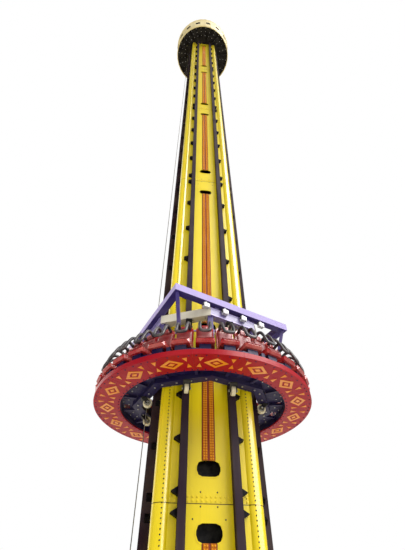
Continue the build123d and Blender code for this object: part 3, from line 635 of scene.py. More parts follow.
def skin(form, loops):
    """Joins loops of points, each to the next, with faces; a loop of one point is a pole."""
    for near, far in zip(loops, loops[1:]):
        count = max(len(near), len(far))
        for step in range(count):
            corners = []
            for loop, place in ((near, step), (near, step + 1), (far, step + 1), (far, step)):
                corners.append(loop[place % len(loop)])
            form.faces.new(list(dict.fromkeys(corners)))


def circles(form, profile, sides):
    """Adds a circle of points to a form for every (radius, height) point, or one point on the axis."""
    loops = []
    for radius, height in profile:
        count = sides if radius else 1
        angles = [2 * pi * step / sides for step in range(count)]
        loops.append([form.verts.new((radius * cos(turn), radius * sin(turn), height)) for turn in angles])
    return loops


def lathe(form, profile, sides, place=None):
    """Adds a closed turned solid to a form, from (radius, height) points with both ends on the axis."""
    loops = circles(form, profile, sides)
    skin(form, loops)
    if place is not None:
        bmesh.ops.transform(form, matrix=place, verts=[vert for loop in loops for vert in loop])


def turned_ring(form, section, sides):
    """Adds a turned ring to a form, from the (radius, height) points round its section."""
    loops = circles(form, section, sides)
    skin(form, loops + loops[:1])


def mirrored(half):
    """Whole profile from its upper half, which goes from the middle outwards."""
    return [(radius, -height) for radius, height in reversed(half)] + half


def ring_panel(form, section, steps=12):
    """Adds one curved panel of the seat ring to a form, round +X, with half a joint left at each end."""
    rows = []
    for step in range(steps + 1):
        row = []
        for radius, height in section:
            angle = (2 * step / steps - 1) * (pi / RING_PANELS - RING_JOINT / 2 / radius)
            row.append(form.verts.new((radius * cos(angle), radius * sin(angle), height)))
        rows.append(row)
    skin(form, rows)
    for end in (rows[0], rows[-1]):
        form.faces.new(end)


def bar(form, low, high, bevel=0.0, place=None):
    """Adds a box from its low to its high corner to a form, with bevelled edges."""
    size = [far - near for near, far in zip(low, high)]
    middle = [(far + near) / 2 for near, far in zip(low, high)]
    box = Matrix.Translation(middle) @ Matrix.Diagonal((*size, 1))
    verts = bmesh.ops.create_cube(form, size=1.0, matrix=box)["verts"]
    if bevel:
        edges = list({edge for vert in verts for edge in vert.link_edges})
        bevelled = bmesh.ops.bevel(form, geom=edges, offset=bevel, segments=1, affect="EDGES")
        kept = {vert for vert in verts if vert.is_valid}
        verts = list({vert for face in bevelled["faces"] for vert in face.verts} | kept)
    if place is not None:
        bmesh.ops.transform(form, matrix=place, verts=verts)


def prism(form, outline, low, high):
    """Adds a flat plate to a form, from its outline in X and Y."""
    loops = [[form.verts.new((x, y, z)) for x, y in outline] for z in (low, high)]
    skin(form, loops)
    for loop in loops:
        form.faces.new(loop)


def cushion(form, size, place, channels=(), crown=0.018, pull=0.05):
    """Adds a crowned pad to a form: flat where it rests, its sides drawn in, with sewn channels across it."""
    long_count, wide_count = 12, 10
    length_half, width_half, edge = size
    tops, bottoms = {}, {}
    for i in range(long_count + 1):
        for j in range(wide_count + 1):
            u = sin(pi / 2 * (2 * i / long_count - 1))
            v = sin(pi / 2 * (2 * j / wide_count - 1))
            x = u * length_half * (1 - pull * (1 - v * v))
            y = v * width_half * (1 - pull * (1 - u * u))
            rise = crown * ((1 - u**4) * (1 - v**4)) ** 0.6
            for channel in channels:
                rise *= 1 - 0.55 * max(0, 1 - abs(u - channel) / 0.12) ** 2
            border = i in (0, long_count) or j in (0, wide_count)
            tops[i, j] = form.verts.new((x, y, edge + rise))
            bottoms[i, j] = tops[i, j] if border else form.verts.new((x, y, 0))
    for i in range(long_count):
        for j in range(wide_count):
            for grid in (tops, bottoms):
                form.faces.new((grid[i, j], grid[i + 1, j], grid[i + 1, j + 1], grid[i, j + 1]))
    bmesh.ops.transform(form, matrix=place, verts=list(set(tops.values()) | set(bottoms.values())))


def dome(radius, height, sides):
    """Form of a low round head, such as a rivet or a lamp cap."""
    form = bmesh.new()
    edge, shoulder = (radius * 0.86, height * 0.6), (radius * 0.45, height * 0.94)
    lathe(form, [(0, 0), (radius, 0), edge, shoulder, (0, height)], sides)
    return form


def hexagon(radius, height):
    """Form of a hexagon bolt head with its washer and chamfer."""
    form = bmesh.new()
    washer = height * 0.2
    lathe(form, [(0, 0), (radius * 1.25, 0), (radius * 1.25, washer), (0, washer)], 12)
    profile = [(0, washer), (radius, washer), (radius, height * 0.85), (radius * 0.8, height), (0, height)]
    lathe(form, profile, 6)
    return form


def hole_outline(wider):
    """Rounded outline of a hand hole, made wider all round."""
    reach = HOLE_CORNER + wider
    points = []
    for quarter, x, y in ((0, 1, 1), (1, -1, 1), (2, -1, -1), (3, 1, -1)):
        centre_x, centre_y = x * (HOLE_WIDTH / 2 - HOLE_CORNER), y * (HOLE_HEIGHT / 2 - HOLE_CORNER)
        for step in range(5):
            angle = radians(90 * quarter + 22.5 * step)
            points.append((centre_x + reach * cos(angle), centre_y + reach * sin(angle)))
    return points


# Placing


def on_face(quarter, x, out, z):
    """Point of the front face, turned to another face of the column: 0 front, 1 right, 2 back, 3 left."""
    return Matrix.Rotation(radians(90 * quarter), 3, "Z") @ Vector((x, -out, z))


def face_line(quarter, start, end, out):
    """Line between two (x, z) points of a face of the column, with the direction that its heads face."""
    ends = [on_face(quarter, x, out, z) for x, z in (start, end)]
    return (*ends, on_face(quarter, 0, 1, 0))


def guide_mesh(points, edges, ways):
    """Mesh of points and edges, with the direction that a head on each point faces."""
    mesh = bpy.data.meshes.new("guide")
    mesh.from_pydata(points, edges, [])
    facing = mesh.attributes.new("facing", "FLOAT_VECTOR", "POINT")
    facing.data.foreach_set("vector", [part for way in ways for part in way])
    return mesh


def lines_mesh(lines):
    """Guide mesh of separate lines."""
    points = [point for start, end, _ in lines for point in (start, end)]
    edges = [(2 * count, 2 * count + 1) for count in range(len(lines))]
    return guide_mesh(points, edges, [way for _, _, way in lines for _ in range(2)])


def points_mesh(places):
    """Guide mesh of separate points."""
    return guide_mesh([point for point, _ in places], [], [way for _, way in places])


def hang(mesh, name, body, material=None):
    """Makes a finished piece of a mesh and lets it ride on its body."""
    mesh.name = name
    if "facing" in mesh.attributes:
        mesh.attributes.remove(mesh.attributes["facing"])
    if material:
        mesh.materials.clear()
        mesh.materials.append(material)
    piece = shown(name, mesh)
    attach(piece, body)
    return piece


def set_heads(kind, guide, form, name, body, coat, pitch=1.0, smooth=False):
    """Sets a head along the lines or at the points of a guide mesh, as one finished piece."""
    head = shown("head", mesh_from(form, "head", smooth))
    grown = grow(kind, guide, Pitch=pitch, Head=head, Material=finish(coat))
    bpy.data.objects.remove(head)
    return hang(grown, name, body)


def repeat_round(form, name, body, coat, count, start=0.0, smooth=False):
    """Repeats a form round the axis, as one finished piece; start is in degrees."""
    mesh = mesh_from(form, name, smooth)
    grown = grow("round", mesh, Count=count, Start=radians(start), Material=finish(coat))
    return hang(grown, name, body)


def bolts_below(places, profile, name, body, coat, count, start=0.0):
    """Sets six-sided bolt heads under a surface and repeats them round the axis, as one finished piece."""
    bolts = bmesh.new()
    for place in places:
        lathe(bolts, profile, 6, Matrix.Translation(place) @ Matrix.Rotation(pi, 4, "X"))
    return repeat_round(bolts, name, body, coat, count, start)


def keep_single(form, name, body, coat):
    """Makes one finished piece of a form as it is."""
    return hang(mesh_from(form, name), name, body, finish(coat))


def aimed(name, data, place, way):
    """Adds a lamp or a camera at a place, looking along a direction."""
    item = shown(name, data)
    item.location = place
    item.rotation_mode = "QUATERNION"
    item.rotation_quaternion = way.to_track_quat("-Z", "Y")
    return item


# Operators


class TOWER_OT_finishes(bpy.types.Operator):
    """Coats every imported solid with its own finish"""

    bl_idname = "tower.finishes"
    bl_label = "Finishes"

    coats = {
        "column": ("corner_tubes", "joint_panels", "wall_plates", "base_plate", "base_gussets"),
        "rail": ("front_rails", "right_rails", "back_rails", "left_rails"),
        "strip": ("front_lamp_strips", "right_lamp_strips", "back_lamp_strips", "left_lamp_strips"),
        "rope": ("hoist_ropes",),
        "iron": ("rope_anchors", "roller_brackets"),
        "soffit": ("crown_floor", "crown_ribs"),
        "crown": ("crown_fascia", "crown_roof"),
        "ring": ("fascia_panels", "rim_trim"),
        "beam": ("inner_ring_beam", "outer_ring_beam", "ring_spokes", "lower_collar", "seat_stands"),
        "deck": ("deck_panels",),
        "frame": ("top_frame",),
        "purple": ("frame_posts", "corner_hangers", "collar_posts", "rope_clamps"),
        "collar": ("upper_collar",),
        "lilac": ("handrail_posts", "handrail_top"),
        "lamp_box": ("floodlights",),
        "tyre": ("guide_rollers",),
        "shell": ("seat_pans", "seat_backs"),
        "restraint": ("shoulder_restraints",),
    }

    def execute(self, context):
        for coat, nodes in self.coats.items():
            for node in nodes:
                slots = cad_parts[node].data.materials
                slots.clear()
                slots.append(finish(coat))
        return {"FINISHED"}


class TOWER_OT_lamp_caps(bpy.types.Operator):
    """Sets two rows of lamp caps on every lamp bar"""

    bl_idname = "tower.lamp_caps"
    bl_label = "Lamp caps"

    def execute(self, context):
        sizes = context.scene.tower_sizes
        rows = (-0.055, -0.027, 0.027, 0.055)
        inset = HOLE_HEIGHT / 2 + 0.02
        for quarter, side in enumerate(("front", "right", "back", "left")):
            lines = []
            for bottom, top, rise, drop in SECTIONS:
                low, high = bottom + rise + inset, top - drop - inset
                lines += [face_line(quarter, (x, low), (x, high), lamp_face) for x in rows]
            cap = dome(sizes.lamp_radius, height=0.01, sides=7)
            name, pitch = f"{side}_lamp_caps", sizes.lamp_pitch
            set_heads("along", lines_mesh(lines), cap, name, "tower", "lamp", pitch, smooth=True)
        return {"FINISHED"}


class TOWER_OT_column_fittings(bpy.types.Operator):
    """Sets the joint bolts, the screws beside them, the rims of the hand holes and a near-black box behind
    them as painted shade
    """

    bl_idname = "tower.column_fittings"
    bl_label = "Column fittings"

    # Two lines of bolts above every joint, broken where the rails stand, and six screws round it
    bolt_rises = (0.027, 0.068)
    bolt_runs = ((-0.237, 0.237), (-0.43, -0.37), (0.37, 0.43))
    screw_places = ((0.095, -0.026), (0.095, 0.112), (0.18, -0.14))

    def execute(self, context):
        sizes = context.scene.tower_sizes
        lines = []
        screws = []
        for quarter in range(4):
            way = on_face(quarter, 0, 1, 0)
            for joint in JOINTS:
                for z in [joint + rise for rise in self.bolt_rises]:
                    for start, end in self.bolt_runs:
                        lines.append(face_line(quarter, (start, z), (end, z), wall_face))
                for x, rise in self.screw_places:
                    screws += [(on_face(quarter, side, wall_face, joint + rise), way) for side in (-x, x)]
        bolt = hexagon(sizes.bolt_radius, height=0.011)
        pitch = sizes.bolt_pitch
        set_heads("along", lines_mesh(lines), bolt, "joint_bolts", "tower", "column", pitch)
        screw = dome(radius=0.009, height=0.005, sides=8)
        set_heads("at", points_mesh(screws), screw, "cover_screws", "tower", "iron", smooth=True)

        rims = bmesh.new()
        width, height = 0.012, 0.005
        for bottom, top, rise, drop in SECTIONS:
            for z in (bottom + rise, top - drop):
                loops = []
                for wider, out in ((0, 0), (0, height), (width, height), (width, 0)):
                    points = [(x, -wall_face - out, z + y) for x, y in hole_outline(wider)]
                    loops.append([rims.verts.new(point) for point in points])
                skin(rims, loops + loops[:1])
        repeat_round(rims, "hand_hole_rims", "tower", "column", 4)

        # Near-black box inside the column: painted shade seen through the hand holes
        shade_box = bmesh.new()
        side = 0.4
        bar(shade_box, (-side, -side, base_top), (side, side, column_top), bevel=0.01)
        keep_single(shade_box, "shaft_lining", "tower", "iron")
        return {"FINISHED"}


class TOWER_OT_tube_rivets(bpy.types.Operator):
    """Sets a row of rivets down both outer sides of every corner tube"""

    bl_idname = "tower.tube_rivets"
    bl_label = "Tube rivets"

    def execute(self, context):
        sizes = context.scene.tower_sizes
        # The rivets sink 0.5 mm into the tube's curve
        face = tube_face - 0.0005
        low, high = base_top + 0.08, column_top - 0.1
        lines = []
        for quarter in range(4):
            lines += [face_line(quarter, (x, low), (x, high), face) for x in (-TUBE_CENTRE, TUBE_CENTRE)]
        rivet = dome(sizes.rivet_radius, height=0.006, sides=6)
        guide, pitch = lines_mesh(lines), sizes.rivet_pitch
        set_heads("along", guide, rivet, "tube_rivets", "tower", "iron", pitch, smooth=True)
        return {"FINISHED"}


class TOWER_OT_foot_fittings(bpy.types.Operator):
    """Sets the anchor studs and the rope sockets at the tower's foot"""

    bl_idname = "tower.foot_fittings"
    bl_label = "Foot fittings"

    def execute(self, context):
        studs = bmesh.new()
        place = Matrix.Translation((ANCHOR_CIRCLE, 0, base_top))
        washer = [(0, 0), (0.036, 0), (0.036, 0.005), (0, 0.005)]
        nut = [(0, 0.005), (0.029, 0.005), (0.029, 0.026), (0.025, 0.029), (0, 0.029)]
        thread = [(0, 0.029), (0.0165, 0.029), (0.0165, 0.052), (0.013, 0.056), (0, 0.056)]
        for profile, sides in ((washer, 16), (nut, 6), (thread, 12)):
            lathe(studs, profile, sides, place)
        repeat_round(studs, "anchor_studs", "tower", "zinc", 8, 22.5)

        sockets = bmesh.new()
        place = Matrix.Translation((rope_high.x - ROPE_RADIUS, 0, rope_low.z))
        profile = [(0, 0), (0.028, 0), (0.03, 0.012), (0.024, 0.05)]
        profile += [(0.0125, 0.12), (0.009, 0.125), (0, 0.125)]
        lathe(sockets, profile, 16, place)
        repeat_round(sockets, "rope_sockets", "tower", "zinc", 2, smooth=True)
        return {"FINISHED"}


class TOWER_OT_crown_fittings(bpy.types.Operator):
    """Sets the louvres, edge beads, rope glands and floor bolts of the crown"""

    bl_idname = "tower.crown_fittings"
    bl_label = "Crown fittings"

    def execute(self, context):
        corner = crown_high.x - CROWN_FLARE / cos(pi / CROWN_SIDES)
        flat = corner * cos(pi / CROWN_SIDES)
        floor_top = column_top + CROWN_FLOOR

        # Dark panels of eleven slats, on every other flat and leaning out with it
        louvres = bmesh.new()
        lean = Matrix.Rotation(CROWN_FLARE / (crown_high.z - column_top), 4, "Y")
        place = Matrix.Translation((flat + CROWN_FLARE / 2, 0, (floor_top + crown_high.z) / 2)) @ lean
        bar(louvres, (-0.006, -0.122, -0.15), (0.004, 0.122, 0.15), 0.002, place)
        slats, pitch, tilt = 11, 0.025, Matrix.Rotation(radians(-38), 4, "Y")
        for step in range(slats):
            slat = place @ Matrix.Translation((0.006, 0, pitch * (step - slats // 2))) @ tilt
            bar(louvres, (-0.008, -0.106, -0.0015), (0.008, 0.106, 0.0015), place=slat)
        count, start = CROWN_SIDES // 2, 180 / CROWN_SIDES
        repeat_round(louvres, "crown_louvres", "tower", "iron", count, start)

        # Round beads, half sunk in the fascia, along its lip, at the floor and along the top edge
        beads = bmesh.new()
        lip = (corner, crown_low.z + 0.012, 0.018)
        top_edge = (crown_high.x, crown_high.z - 0.01, 0.02)
        for radius, z, size in (lip, (corner, floor_top, 0.012), top_edge):
            angles = [pi * step / 4 for step in range(8)]
            section = [(radius + size * cos(angle), z + size * sin(angle)) for angle in angles]
            turned_ring(beads, section, CROWN_SIDES)
        keep_single(beads, "crown_beads", "tower", "crown")

        glands = bmesh.new()
        depth = 0.07
        place = Matrix.Translation((rope_high.x - ROPE_RADIUS, 0, column_top - depth))
        profile = [(0, 0), (0.012, 0), (0.03, 0.03), (0.045, 0.055), (0.06, 0.058), (0.06, depth), (0, depth)]
        lathe(glands, profile, 16, place)
        repeat_round(glands, "rope_glands", "tower", "iron", 2, smooth=True)

        places = [(reach, 0.02, column_top) for reach in (1.0, 1.18, 1.34)]
        profile = [(0, 0), (0.016, 0), (0.016, 0.01), (0, 0.012)]
        bolts_below(places, profile, "crown_bolts", "tower", "zinc", CROWN_SIDES)
        return {"FINISHED"}


class TOWER_OT_seat_ring(bpy.types.Operator):
    """Makes the rolled panels and rim of the seat ring in place of the straight ones"""

    bl_idname = "tower.seat_ring"
    bl_label = "Seat ring"

    def execute(self, context):
        low, high = ring_low.z, ring_high.z
        panels = bmesh.new()
        section = [(RING_INSIDE, low), (RING_OUTSIDE, low), (RING_OUTSIDE, high), (RING_INSIDE, high)]
        ring_panel(panels, section)
        piece = repeat_round(panels, "ring_panels", "gondola", "ring", RING_PANELS)
        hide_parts("fascia_panels")

        # The rim's outer edges are broken by 2 mm
        low, high, edge = rim_low.z, rim_high.z, 0.002
        rim = bmesh.new()
        section = [(RIM_INSIDE, low), (RIM_OUTSIDE - edge, low), (RIM_OUTSIDE, low + edge)]
        section += [(RIM_OUTSIDE, high - edge), (RIM_OUTSIDE - edge, high), (RIM_INSIDE, high)]
        ring_panel(rim, section)
        piece = repeat_round(rim, "ring_rim", "gondola", "ring", RING_PANELS)
        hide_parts("rim_trim")
        return {"FINISHED"}


class TOWER_OT_ring_ornament(bpy.types.Operator):
    """Sets the lozenge ornament and the bolts on the underside of the seat ring"""

    bl_idname = "tower.ring_ornament"
    bl_label = "Ring ornament"

    def execute(self, context):
        high = ring_low.z
        low = high - 0.004
        middle, reach, half = 1.384, 0.105, 0.15
        ornament = bmesh.new()
        # One open lozenge round a small one in the middle of each panel, and a pair of darts at both ends
        lozenge = [(-reach, 0), (0, -half), (reach, 0), (0, half)]
        shares = (1, 0.6, 0.3)
        outer, inner, core = [[(middle + x * share, y * share) for x, y in lozenge] for share in shares]
        for step in range(4):
            after = (step + 1) % 4
            prism(ornament, [outer[step], outer[after], inner[after], inner[step]], low, high)
        prism(ornament, core, low, high)
        for side in (-1, 1):
            for way in (-1, 1):
                wide = middle + way * reach
                dart = [(middle + way * 0.0245, side * 0.2), (wide, side * 0.165), (wide, side * 0.225)]
                prism(ornament, dart, low, high)
        repeat_round(ornament, "ring_ornament", "gondola", "ornament", RING_PANELS)

        places = []
        for radius in (1.226, 1.543):
            for angle in [share * pi / RING_PANELS for share in (-0.85, -0.45, 0, 0.45, 0.85)]:
                places.append((radius * cos(angle), radius * sin(angle), high))
        profile = [(0, 0), (0.011, 0), (0.009, 0.005), (0, 0.007)]
        bolts_below(places, profile, "ring_bolts", "gondola", "beam", RING_PANELS)
        return {"FINISHED"}


class TOWER_OT_guide_rollers(bpy.types.Operator):
    """Makes the guide rollers with tyres, hubs and axle nuts in place of the plain ones"""

    bl_idname = "tower.guide_rollers"
    bl_label = "Guide rollers"

    def execute(self, context):
        axle = roller_high.x - ROLLER_RADIUS
        heights = (roller_low.z + ROLLER_RADIUS, roller_high.z - ROLLER_RADIUS)
        places = []
        for quarter in range(4):
            way = on_face(quarter, 1, 0, 0)
            for side in (-RAIL_SIDE, RAIL_SIDE):
                places += [(on_face(quarter, side, axle, z), way) for z in heights]

        # Both profiles are one half, from the middle outwards, and its mirror image
        tyre = bmesh.new()
        half = [(ROLLER_RADIUS, 0.014), (0.063, 0.022), (0.056, 0.028), (0.042, 0.028)]
        turned_ring(tyre, mirrored(half), 28)
        tyres = set_heads(
            "at", points_mesh(places), tyre, "roller_tyres", "gondola", "tyre", smooth=True
        )
        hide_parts("guide_rollers")

        hub = bmesh.new()
        half = [(0.0425, 0.018), (0.03, 0.018), (0.024, 0.024), (0.02, 0.03)]
        half += [(0.009, 0.03), (0.009, 0.05), (0, 0.05)]
        lathe(hub, mirrored(half), 16)
        for side in (-1, 1):
            nut = Matrix.Translation((0, 0, 0.048 * side)) @ Matrix.Diagonal((1, 1, side, 1))
            lathe(hub, [(0, 0), (0.017, 0), (0.017, 0.012), (0.014, 0.014), (0, 0.014)], 6, nut)
        set_heads("at", points_mesh(places), hub, "roller_hubs", "gondola", "zinc")
        return {"FINISHED"}


class TOWER_OT_deck_fittings(bpy.types.Operator):
    """Sets the stiffeners and bolts under the deck and the bolts under both collars"""

    bl_idname = "tower.deck_fittings"
    bl_label = "Deck fittings"

    def execute(self, context):
        # Tees of a 35 mm web and a 4 mm flange
        stiffeners = bmesh.new()
        start, end = 0.99, 1.186
        flange_top = deck_under - 0.035
        bar(stiffeners, (start, -0.004, flange_top), (end, 0.004, deck_under), 0.001)
        bar(stiffeners, (start, -0.02, flange_top - 0.004), (end, 0.02, flange_top), 0.001)
        repeat_round(stiffeners, "deck_stiffeners", "gondola", "beam", 16, 11.25)

        places = []
        for radius, turn in ((1.165, 0), (1.165, 7.5), (1.165, -7.5), (1.09, 4), (1.09, -4)):
            places.append((radius * cos(radians(turn)), radius * sin(radians(turn)), deck_under))
        profile = [(0, 0), (0.012, 0), (0.012, 0.006), (0.009, 0.009), (0, 0.009)]
        bolts_below(places, profile, "deck_bolts", "gondola", "zinc", 16)

        places = [(0.9, side, z) for side in (-0.3, -0.1, 0.1, 0.3) for z in (lower_under, upper_low.z)]
        profile = [(0, 0), (0.014, 0), (0.014, 0.008), (0.011, 0.011), (0, 0.011)]
        bolts_below(places, profile, "collar_bolts", "gondola", "zinc", 8, 22.5)
        return {"FINISHED"}


class TOWER_OT_handrail_fittings(bpy.types.Operator):
    """Sets a foot flange and a clamp ball on every handrail post"""

    bl_idname = "tower.handrail_fittings"
    bl_label = "Handrail fittings"

    def execute(self, context):
        reach = post_high.x - HANDRAIL_RADIUS
        fittings = bmesh.new()
        flange = [(0, 0), (0.028, 0), (0.028, 0.005), (0.016, 0.01), (0.0135, 0.03), (0, 0.03)]
        lathe(fittings, flange, 12, Matrix.Translation((reach, 0, post_low.z)))
        radius = 0.019
        angles = [pi * step / 6 for step in range(1, 6)]
        ball = [(radius * sin(angle), -radius * cos(angle)) for angle in angles]
        place = Matrix.Translation((reach, 0, post_high.z + HANDRAIL_RADIUS + 0.0002))
        lathe(fittings, [(0, -radius), *ball, (0, radius)], 12, place)
        repeat_round(fittings, "handrail_fittings", "gondola", "lilac", 24, smooth=True)
        return {"FINISHED"}


class TOWER_OT_floodlight_fittings(bpy.types.Operator):
    """Sets the lenses, yokes and cooling fins of the floodlights"""

    bl_idname = "tower.floodlight_fittings"
    bl_label = "Floodlight fittings"

    def execute(self, context):
        # A housing is 60 mm deep and stands flush with the frame's face, under a stem of 40 mm
        middle, half_depth = frame_side() - 0.03, 0.03
        bottom, top = light_low.z, light_high.z - 0.04
        lens_half, lens, yoke_half = 0.038, 0.004, 0.011
        yoke_near, yoke_far, yoke_top = 0.047, 0.052, top + 0.012
        pivot_profile = [(0, -0.011), (0.013, -0.011), (0.013, 0.011), (0, 0.011)]
        across = Matrix.Rotation(pi / 2, 4, "X")
        lenses = bmesh.new()
        yokes = bmesh.new()
        for side in [(step - 1.5) * LIGHT_PITCH for step in range(4)]:
            left, right = side - lens_half, side + lens_half
            front = middle + half_depth
            bar(lenses, (front, left, bottom + 0.008), (front + lens, right, top - 0.008), 0.0015)
            bar(lenses, (middle - 0.024, left, bottom - lens), (middle + 0.024, right, bottom), 0.0015)
            near, far = middle - yoke_half, middle + yoke_half
            for way in (-1, 1):
                low, high = sorted((side + way * yoke_near, side + way * yoke_far))
                bar(yokes, (near, low, bottom + 0.025), (far, high, yoke_top), 0.001)
                pivot = Matrix.Translation((middle, side + way * 0.045, bottom + 0.035)) @ across
                lathe(yokes, pivot_profile, 8, pivot)
            bar(yokes, (near, side - yoke_far, yoke_top), (far, side + yoke_far, yoke_top + 0.005), 0.001)
            back = middle - half_depth
            for z in [bottom + 0.011 + 0.012 * fin for fin in range(5)]:
                bar(yokes, (back - 0.005, side - 0.04, z), (back, side + 0.04, z + 0.003))
        repeat_round(lenses, "floodlight_lenses", "gondola", "lens", 2, FRAME_TURN - 90)
        repeat_round(yokes, "floodlight_yokes", "gondola", "iron", 2, FRAME_TURN - 90)
        return {"FINISHED"}


class TOWER_OT_seat_pads(bpy.types.Operator):
    """Makes the seat, back and head pads of every seat"""

    bl_idname = "tower.seat_pads"
    bl_label = "Seat pads"

    def execute(self, context):
        pads = bmesh.new()
        seat = Matrix.Translation((PAN_START + 0.166, 0, seat_top))
        cushion(pads, (0.107, 0.105, 0.008), seat, channels=(-0.35, 0.3))
        # The back's front face leans in by 40 mm over its height
        lean = Matrix.Rotation(-0.1077, 4, "Y")
        front = Matrix.Translation((BACK_FRONT, 0, seat_top)) @ lean
        up = Matrix(((0, 0, 1, 0), (0, -1, 0, 0), (1, 0, 0, 0), (0, 0, 0, 1)))
        back, head = [front @ Matrix.Translation((0, 0, rise)) @ up for rise in (0.152, 0.315)]
        cushion(pads, (0.112, 0.1, 0.008), back, channels=(-0.4, 0.25))
        cushion(pads, (0.036, 0.04, 0.006), head, crown=0.012)
        piece = repeat_round(pads, "seat_pads", "gondola", "pad", SEATS, 180 / SEATS, True)
        return {"FINISHED"}


class TOWER_OT_restraint_pads(bpy.types.Operator):
    """Makes the padded shoulder restraints in place of the plain ones"""

    bl_idname = "tower.restraint_pads"
    bl_label = "Shoulder restraints"

    # Control points of an arm: how far in front of the back's foot, and above the back's top
    arm = ((-0.027, -0.072), (0.015, -0.04), (0.06, -0.028), (0.105, -0.05), (0.15, -0.13), (0.186, -0.225))

    def execute(self, context):
        left = [(BACK_FRONT + x, -0.066, back_top + z) for x, z in self.arm]
        left.append((BACK_FRONT + 0.189, -0.05, back_top - 0.245))
        points = left + [(x, -y, z) for x, y, z in reversed(left)]
        curve = bpy.data.curves.new("restraint", "CURVE")
        curve.dimensions = "3D"
        curve.bevel_depth = 0.021
        curve.bevel_resolution = 2
        curve.resolution_u = 3
        curve.use_fill_caps = True
        spline = curve.splines.new("NURBS")
        spline.points.add(len(points) - 1)
        for point, place in zip(spline.points, points):
            point.co = (*place, 1)
        spline.order_u = 4
        spline.use_endpoint_u = True
        form = bmesh.new()
        form.from_mesh(plain_mesh(shown("restraint", curve)))
        piece = repeat_round(
            form, "restraint_pads", "gondola", "restraint", SEATS, 180 / SEATS, True
        )
        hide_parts("shoulder_restraints")
        return {"FINISHED"}


class TOWER_OT_stage(bpy.types.Operator):
    """Sets the floor, the light and the camera"""

    bl_idname = "tower.stage"
    bl_label = "Stage"

    # Sun lamps: name, degrees round from the front to the right, degrees up, strength and spread in degrees
    suns = (("key", 45, 46, 2.65, 40), ("fill", 205, 32, 1.7, 70))
    # Tall soft box: its place, width, height and power
    strip = ((21, -18.5, 31), 30, 60, 46000)
    # Focal length and height of the picture, in pixels
    focal = 345.7
    picture = 550

    def execute(self, context):
        self.set_floor()
        self.set_world(context.scene)
        self.set_lamps()
        self.set_camera(context.scene)
        return {"FINISHED"}

    @staticmethod
    def set_floor():
        """Pale concrete floor, just under the base plate."""
        form = bmesh.new()
        bmesh.ops.create_circle(form, cap_ends=True, segments=96, radius=90)
        floor = shown("floor", mesh_from(form, "floor"))
        floor.location.z = -0.002
        material, tree, place = new_finish("floor_pale_concrete")
        cloud = add(tree, "ShaderNodeTexNoise", {"Vector": place, "Scale": 0.4, "Detail": 4})
        tint = add(tree, "ShaderNodeMix", {0: cloud, 6: linear("C2C0BC"), 7: linear("D2D0CC")}, **COLOURS)
        close_finish(tree, tint, 0.9, {"Specular IOR Level": 0.0})
        floor.data.materials.append(material)

    @staticmethod
    def set_world(scene):
        """White behind the ride, softer as light, and dim in reflections so that the paint stays deep."""
        world = bpy.data.worlds.new("studio")
        world.use_nodes = True
        tree = world.node_tree
        tree.nodes.clear()
        reflected = add(tree, "ShaderNodeLightPath", out="Is Glossy Ray")
        lit = add(tree, "ShaderNodeMapRange", {"Value": reflected, "To Min": 0.78, "To Max": 0.16})
        seen = add(tree, "ShaderNodeLightPath", out="Is Camera Ray")
        level = add(tree, "ShaderNodeMapRange", {"Value": seen, "To Min": lit, "To Max": 1.0})
        sky = add(tree, "ShaderNodeBackground", {"Color": (1, 1, 1, 1), "Strength": level})
        add(tree, "ShaderNodeOutputWorld", {"Surface": sky})
        scene.world = world
        scene.view_settings.view_transform = "Standard"

    def set_lamps(self):
        """Broad key from the upper right front, fill from behind, and a soft box for reflections alone."""
        for name, turn, rise, strength, spread in self.suns:
            light = bpy.data.lights.new(name, "SUN")
            light.energy = strength
            light.angle = radians(spread)
            light.color = (1.0, 0.97, 0.92)
            away = Vector((sin(radians(turn)), -cos(radians(turn)), tan(radians(rise))))
            aimed(name, light, (0, 0, 0), -away)

        # The soft box draws one highlight down every tube
        place, width, height, power = self.strip
        light = bpy.data.lights.new("strip", "AREA")
        light.shape = "RECTANGLE"
        light.size = width
        light.size_y = height
        light.energy = power
        lamp = aimed("strip", light, place, Vector((-place[0], -place[1], 0)))
        lamp.visible_diffuse = False

    def set_camera(self, scene):
        """Camera low in front of the ride, tilted up."""
        sizes = scene.tower_sizes
        lens = bpy.data.cameras.new("camera")
        lens.sensor_width = 36
        lens.lens = lens.sensor_width * self.focal / self.picture
        lens.clip_end = 400
        turn, distance = sizes.camera_turn, sizes.camera_distance
        place = (-distance * sin(turn), -distance * cos(turn), sizes.camera_height)
        scene.camera = aimed("camera", lens, place, Vector((sin(turn), cos(turn), tan(sizes.camera_tilt))))


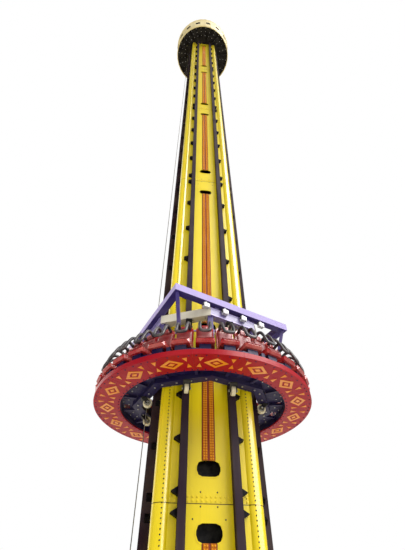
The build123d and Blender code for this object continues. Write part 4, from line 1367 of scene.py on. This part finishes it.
OPERATORS = (
    TOWER_OT_finishes,
    TOWER_OT_lamp_caps,
    TOWER_OT_column_fittings,
    TOWER_OT_tube_rivets,
    TOWER_OT_foot_fittings,
    TOWER_OT_crown_fittings,
    TOWER_OT_seat_ring,
    TOWER_OT_ring_ornament,
    TOWER_OT_guide_rollers,
    TOWER_OT_deck_fittings,
    TOWER_OT_handrail_fittings,
    TOWER_OT_floodlight_fittings,
    TOWER_OT_seat_pads,
    TOWER_OT_restraint_pads,
    TOWER_OT_stage,
)


class TOWER_PT_panel(bpy.types.Panel):
    """Sizes, colours and steps of the drop tower"""

    bl_idname = "TOWER_PT_panel"
    bl_label = "Drop tower"
    bl_space_type = "VIEW_3D"
    bl_region_type = "UI"
    bl_category = "Drop tower"

    def draw(self, context):
        for group in (context.scene.tower_colours, context.scene.tower_sizes):
            column = self.layout.column()
            for name in group.__annotations__:
                column.prop(group, name)
        for operator in OPERATORS:
            self.layout.operator(operator.bl_idname)


def register():
    """Registers the property groups, the operators and the panel."""
    for group in (TowerColours, TowerSizes, *OPERATORS, TOWER_PT_panel):
        bpy.utils.register_class(group)
    bpy.types.Scene.tower_colours = bpy.props.PointerProperty(type=TowerColours)
    bpy.types.Scene.tower_sizes = bpy.props.PointerProperty(type=TowerSizes)


def unregister():
    """Takes everything out again."""
    del bpy.types.Scene.tower_sizes
    del bpy.types.Scene.tower_colours
    for group in (TOWER_PT_panel, *reversed(OPERATORS), TowerSizes, TowerColours):
        bpy.utils.unregister_class(group)


def main():
    """Builds the whole ride."""
    register()
    bpy.ops.tower.finishes()
    bpy.ops.tower.lamp_caps()
    bpy.ops.tower.column_fittings()
    bpy.ops.tower.tube_rivets()
    bpy.ops.tower.foot_fittings()
    bpy.ops.tower.crown_fittings()
    bpy.ops.tower.seat_ring()
    bpy.ops.tower.ring_ornament()
    bpy.ops.tower.guide_rollers()
    bpy.ops.tower.deck_fittings()
    bpy.ops.tower.handrail_fittings()
    bpy.ops.tower.floodlight_fittings()
    bpy.ops.tower.seat_pads()
    bpy.ops.tower.restraint_pads()
    bpy.ops.tower.stage()


if __name__ == "__main__":
    main()
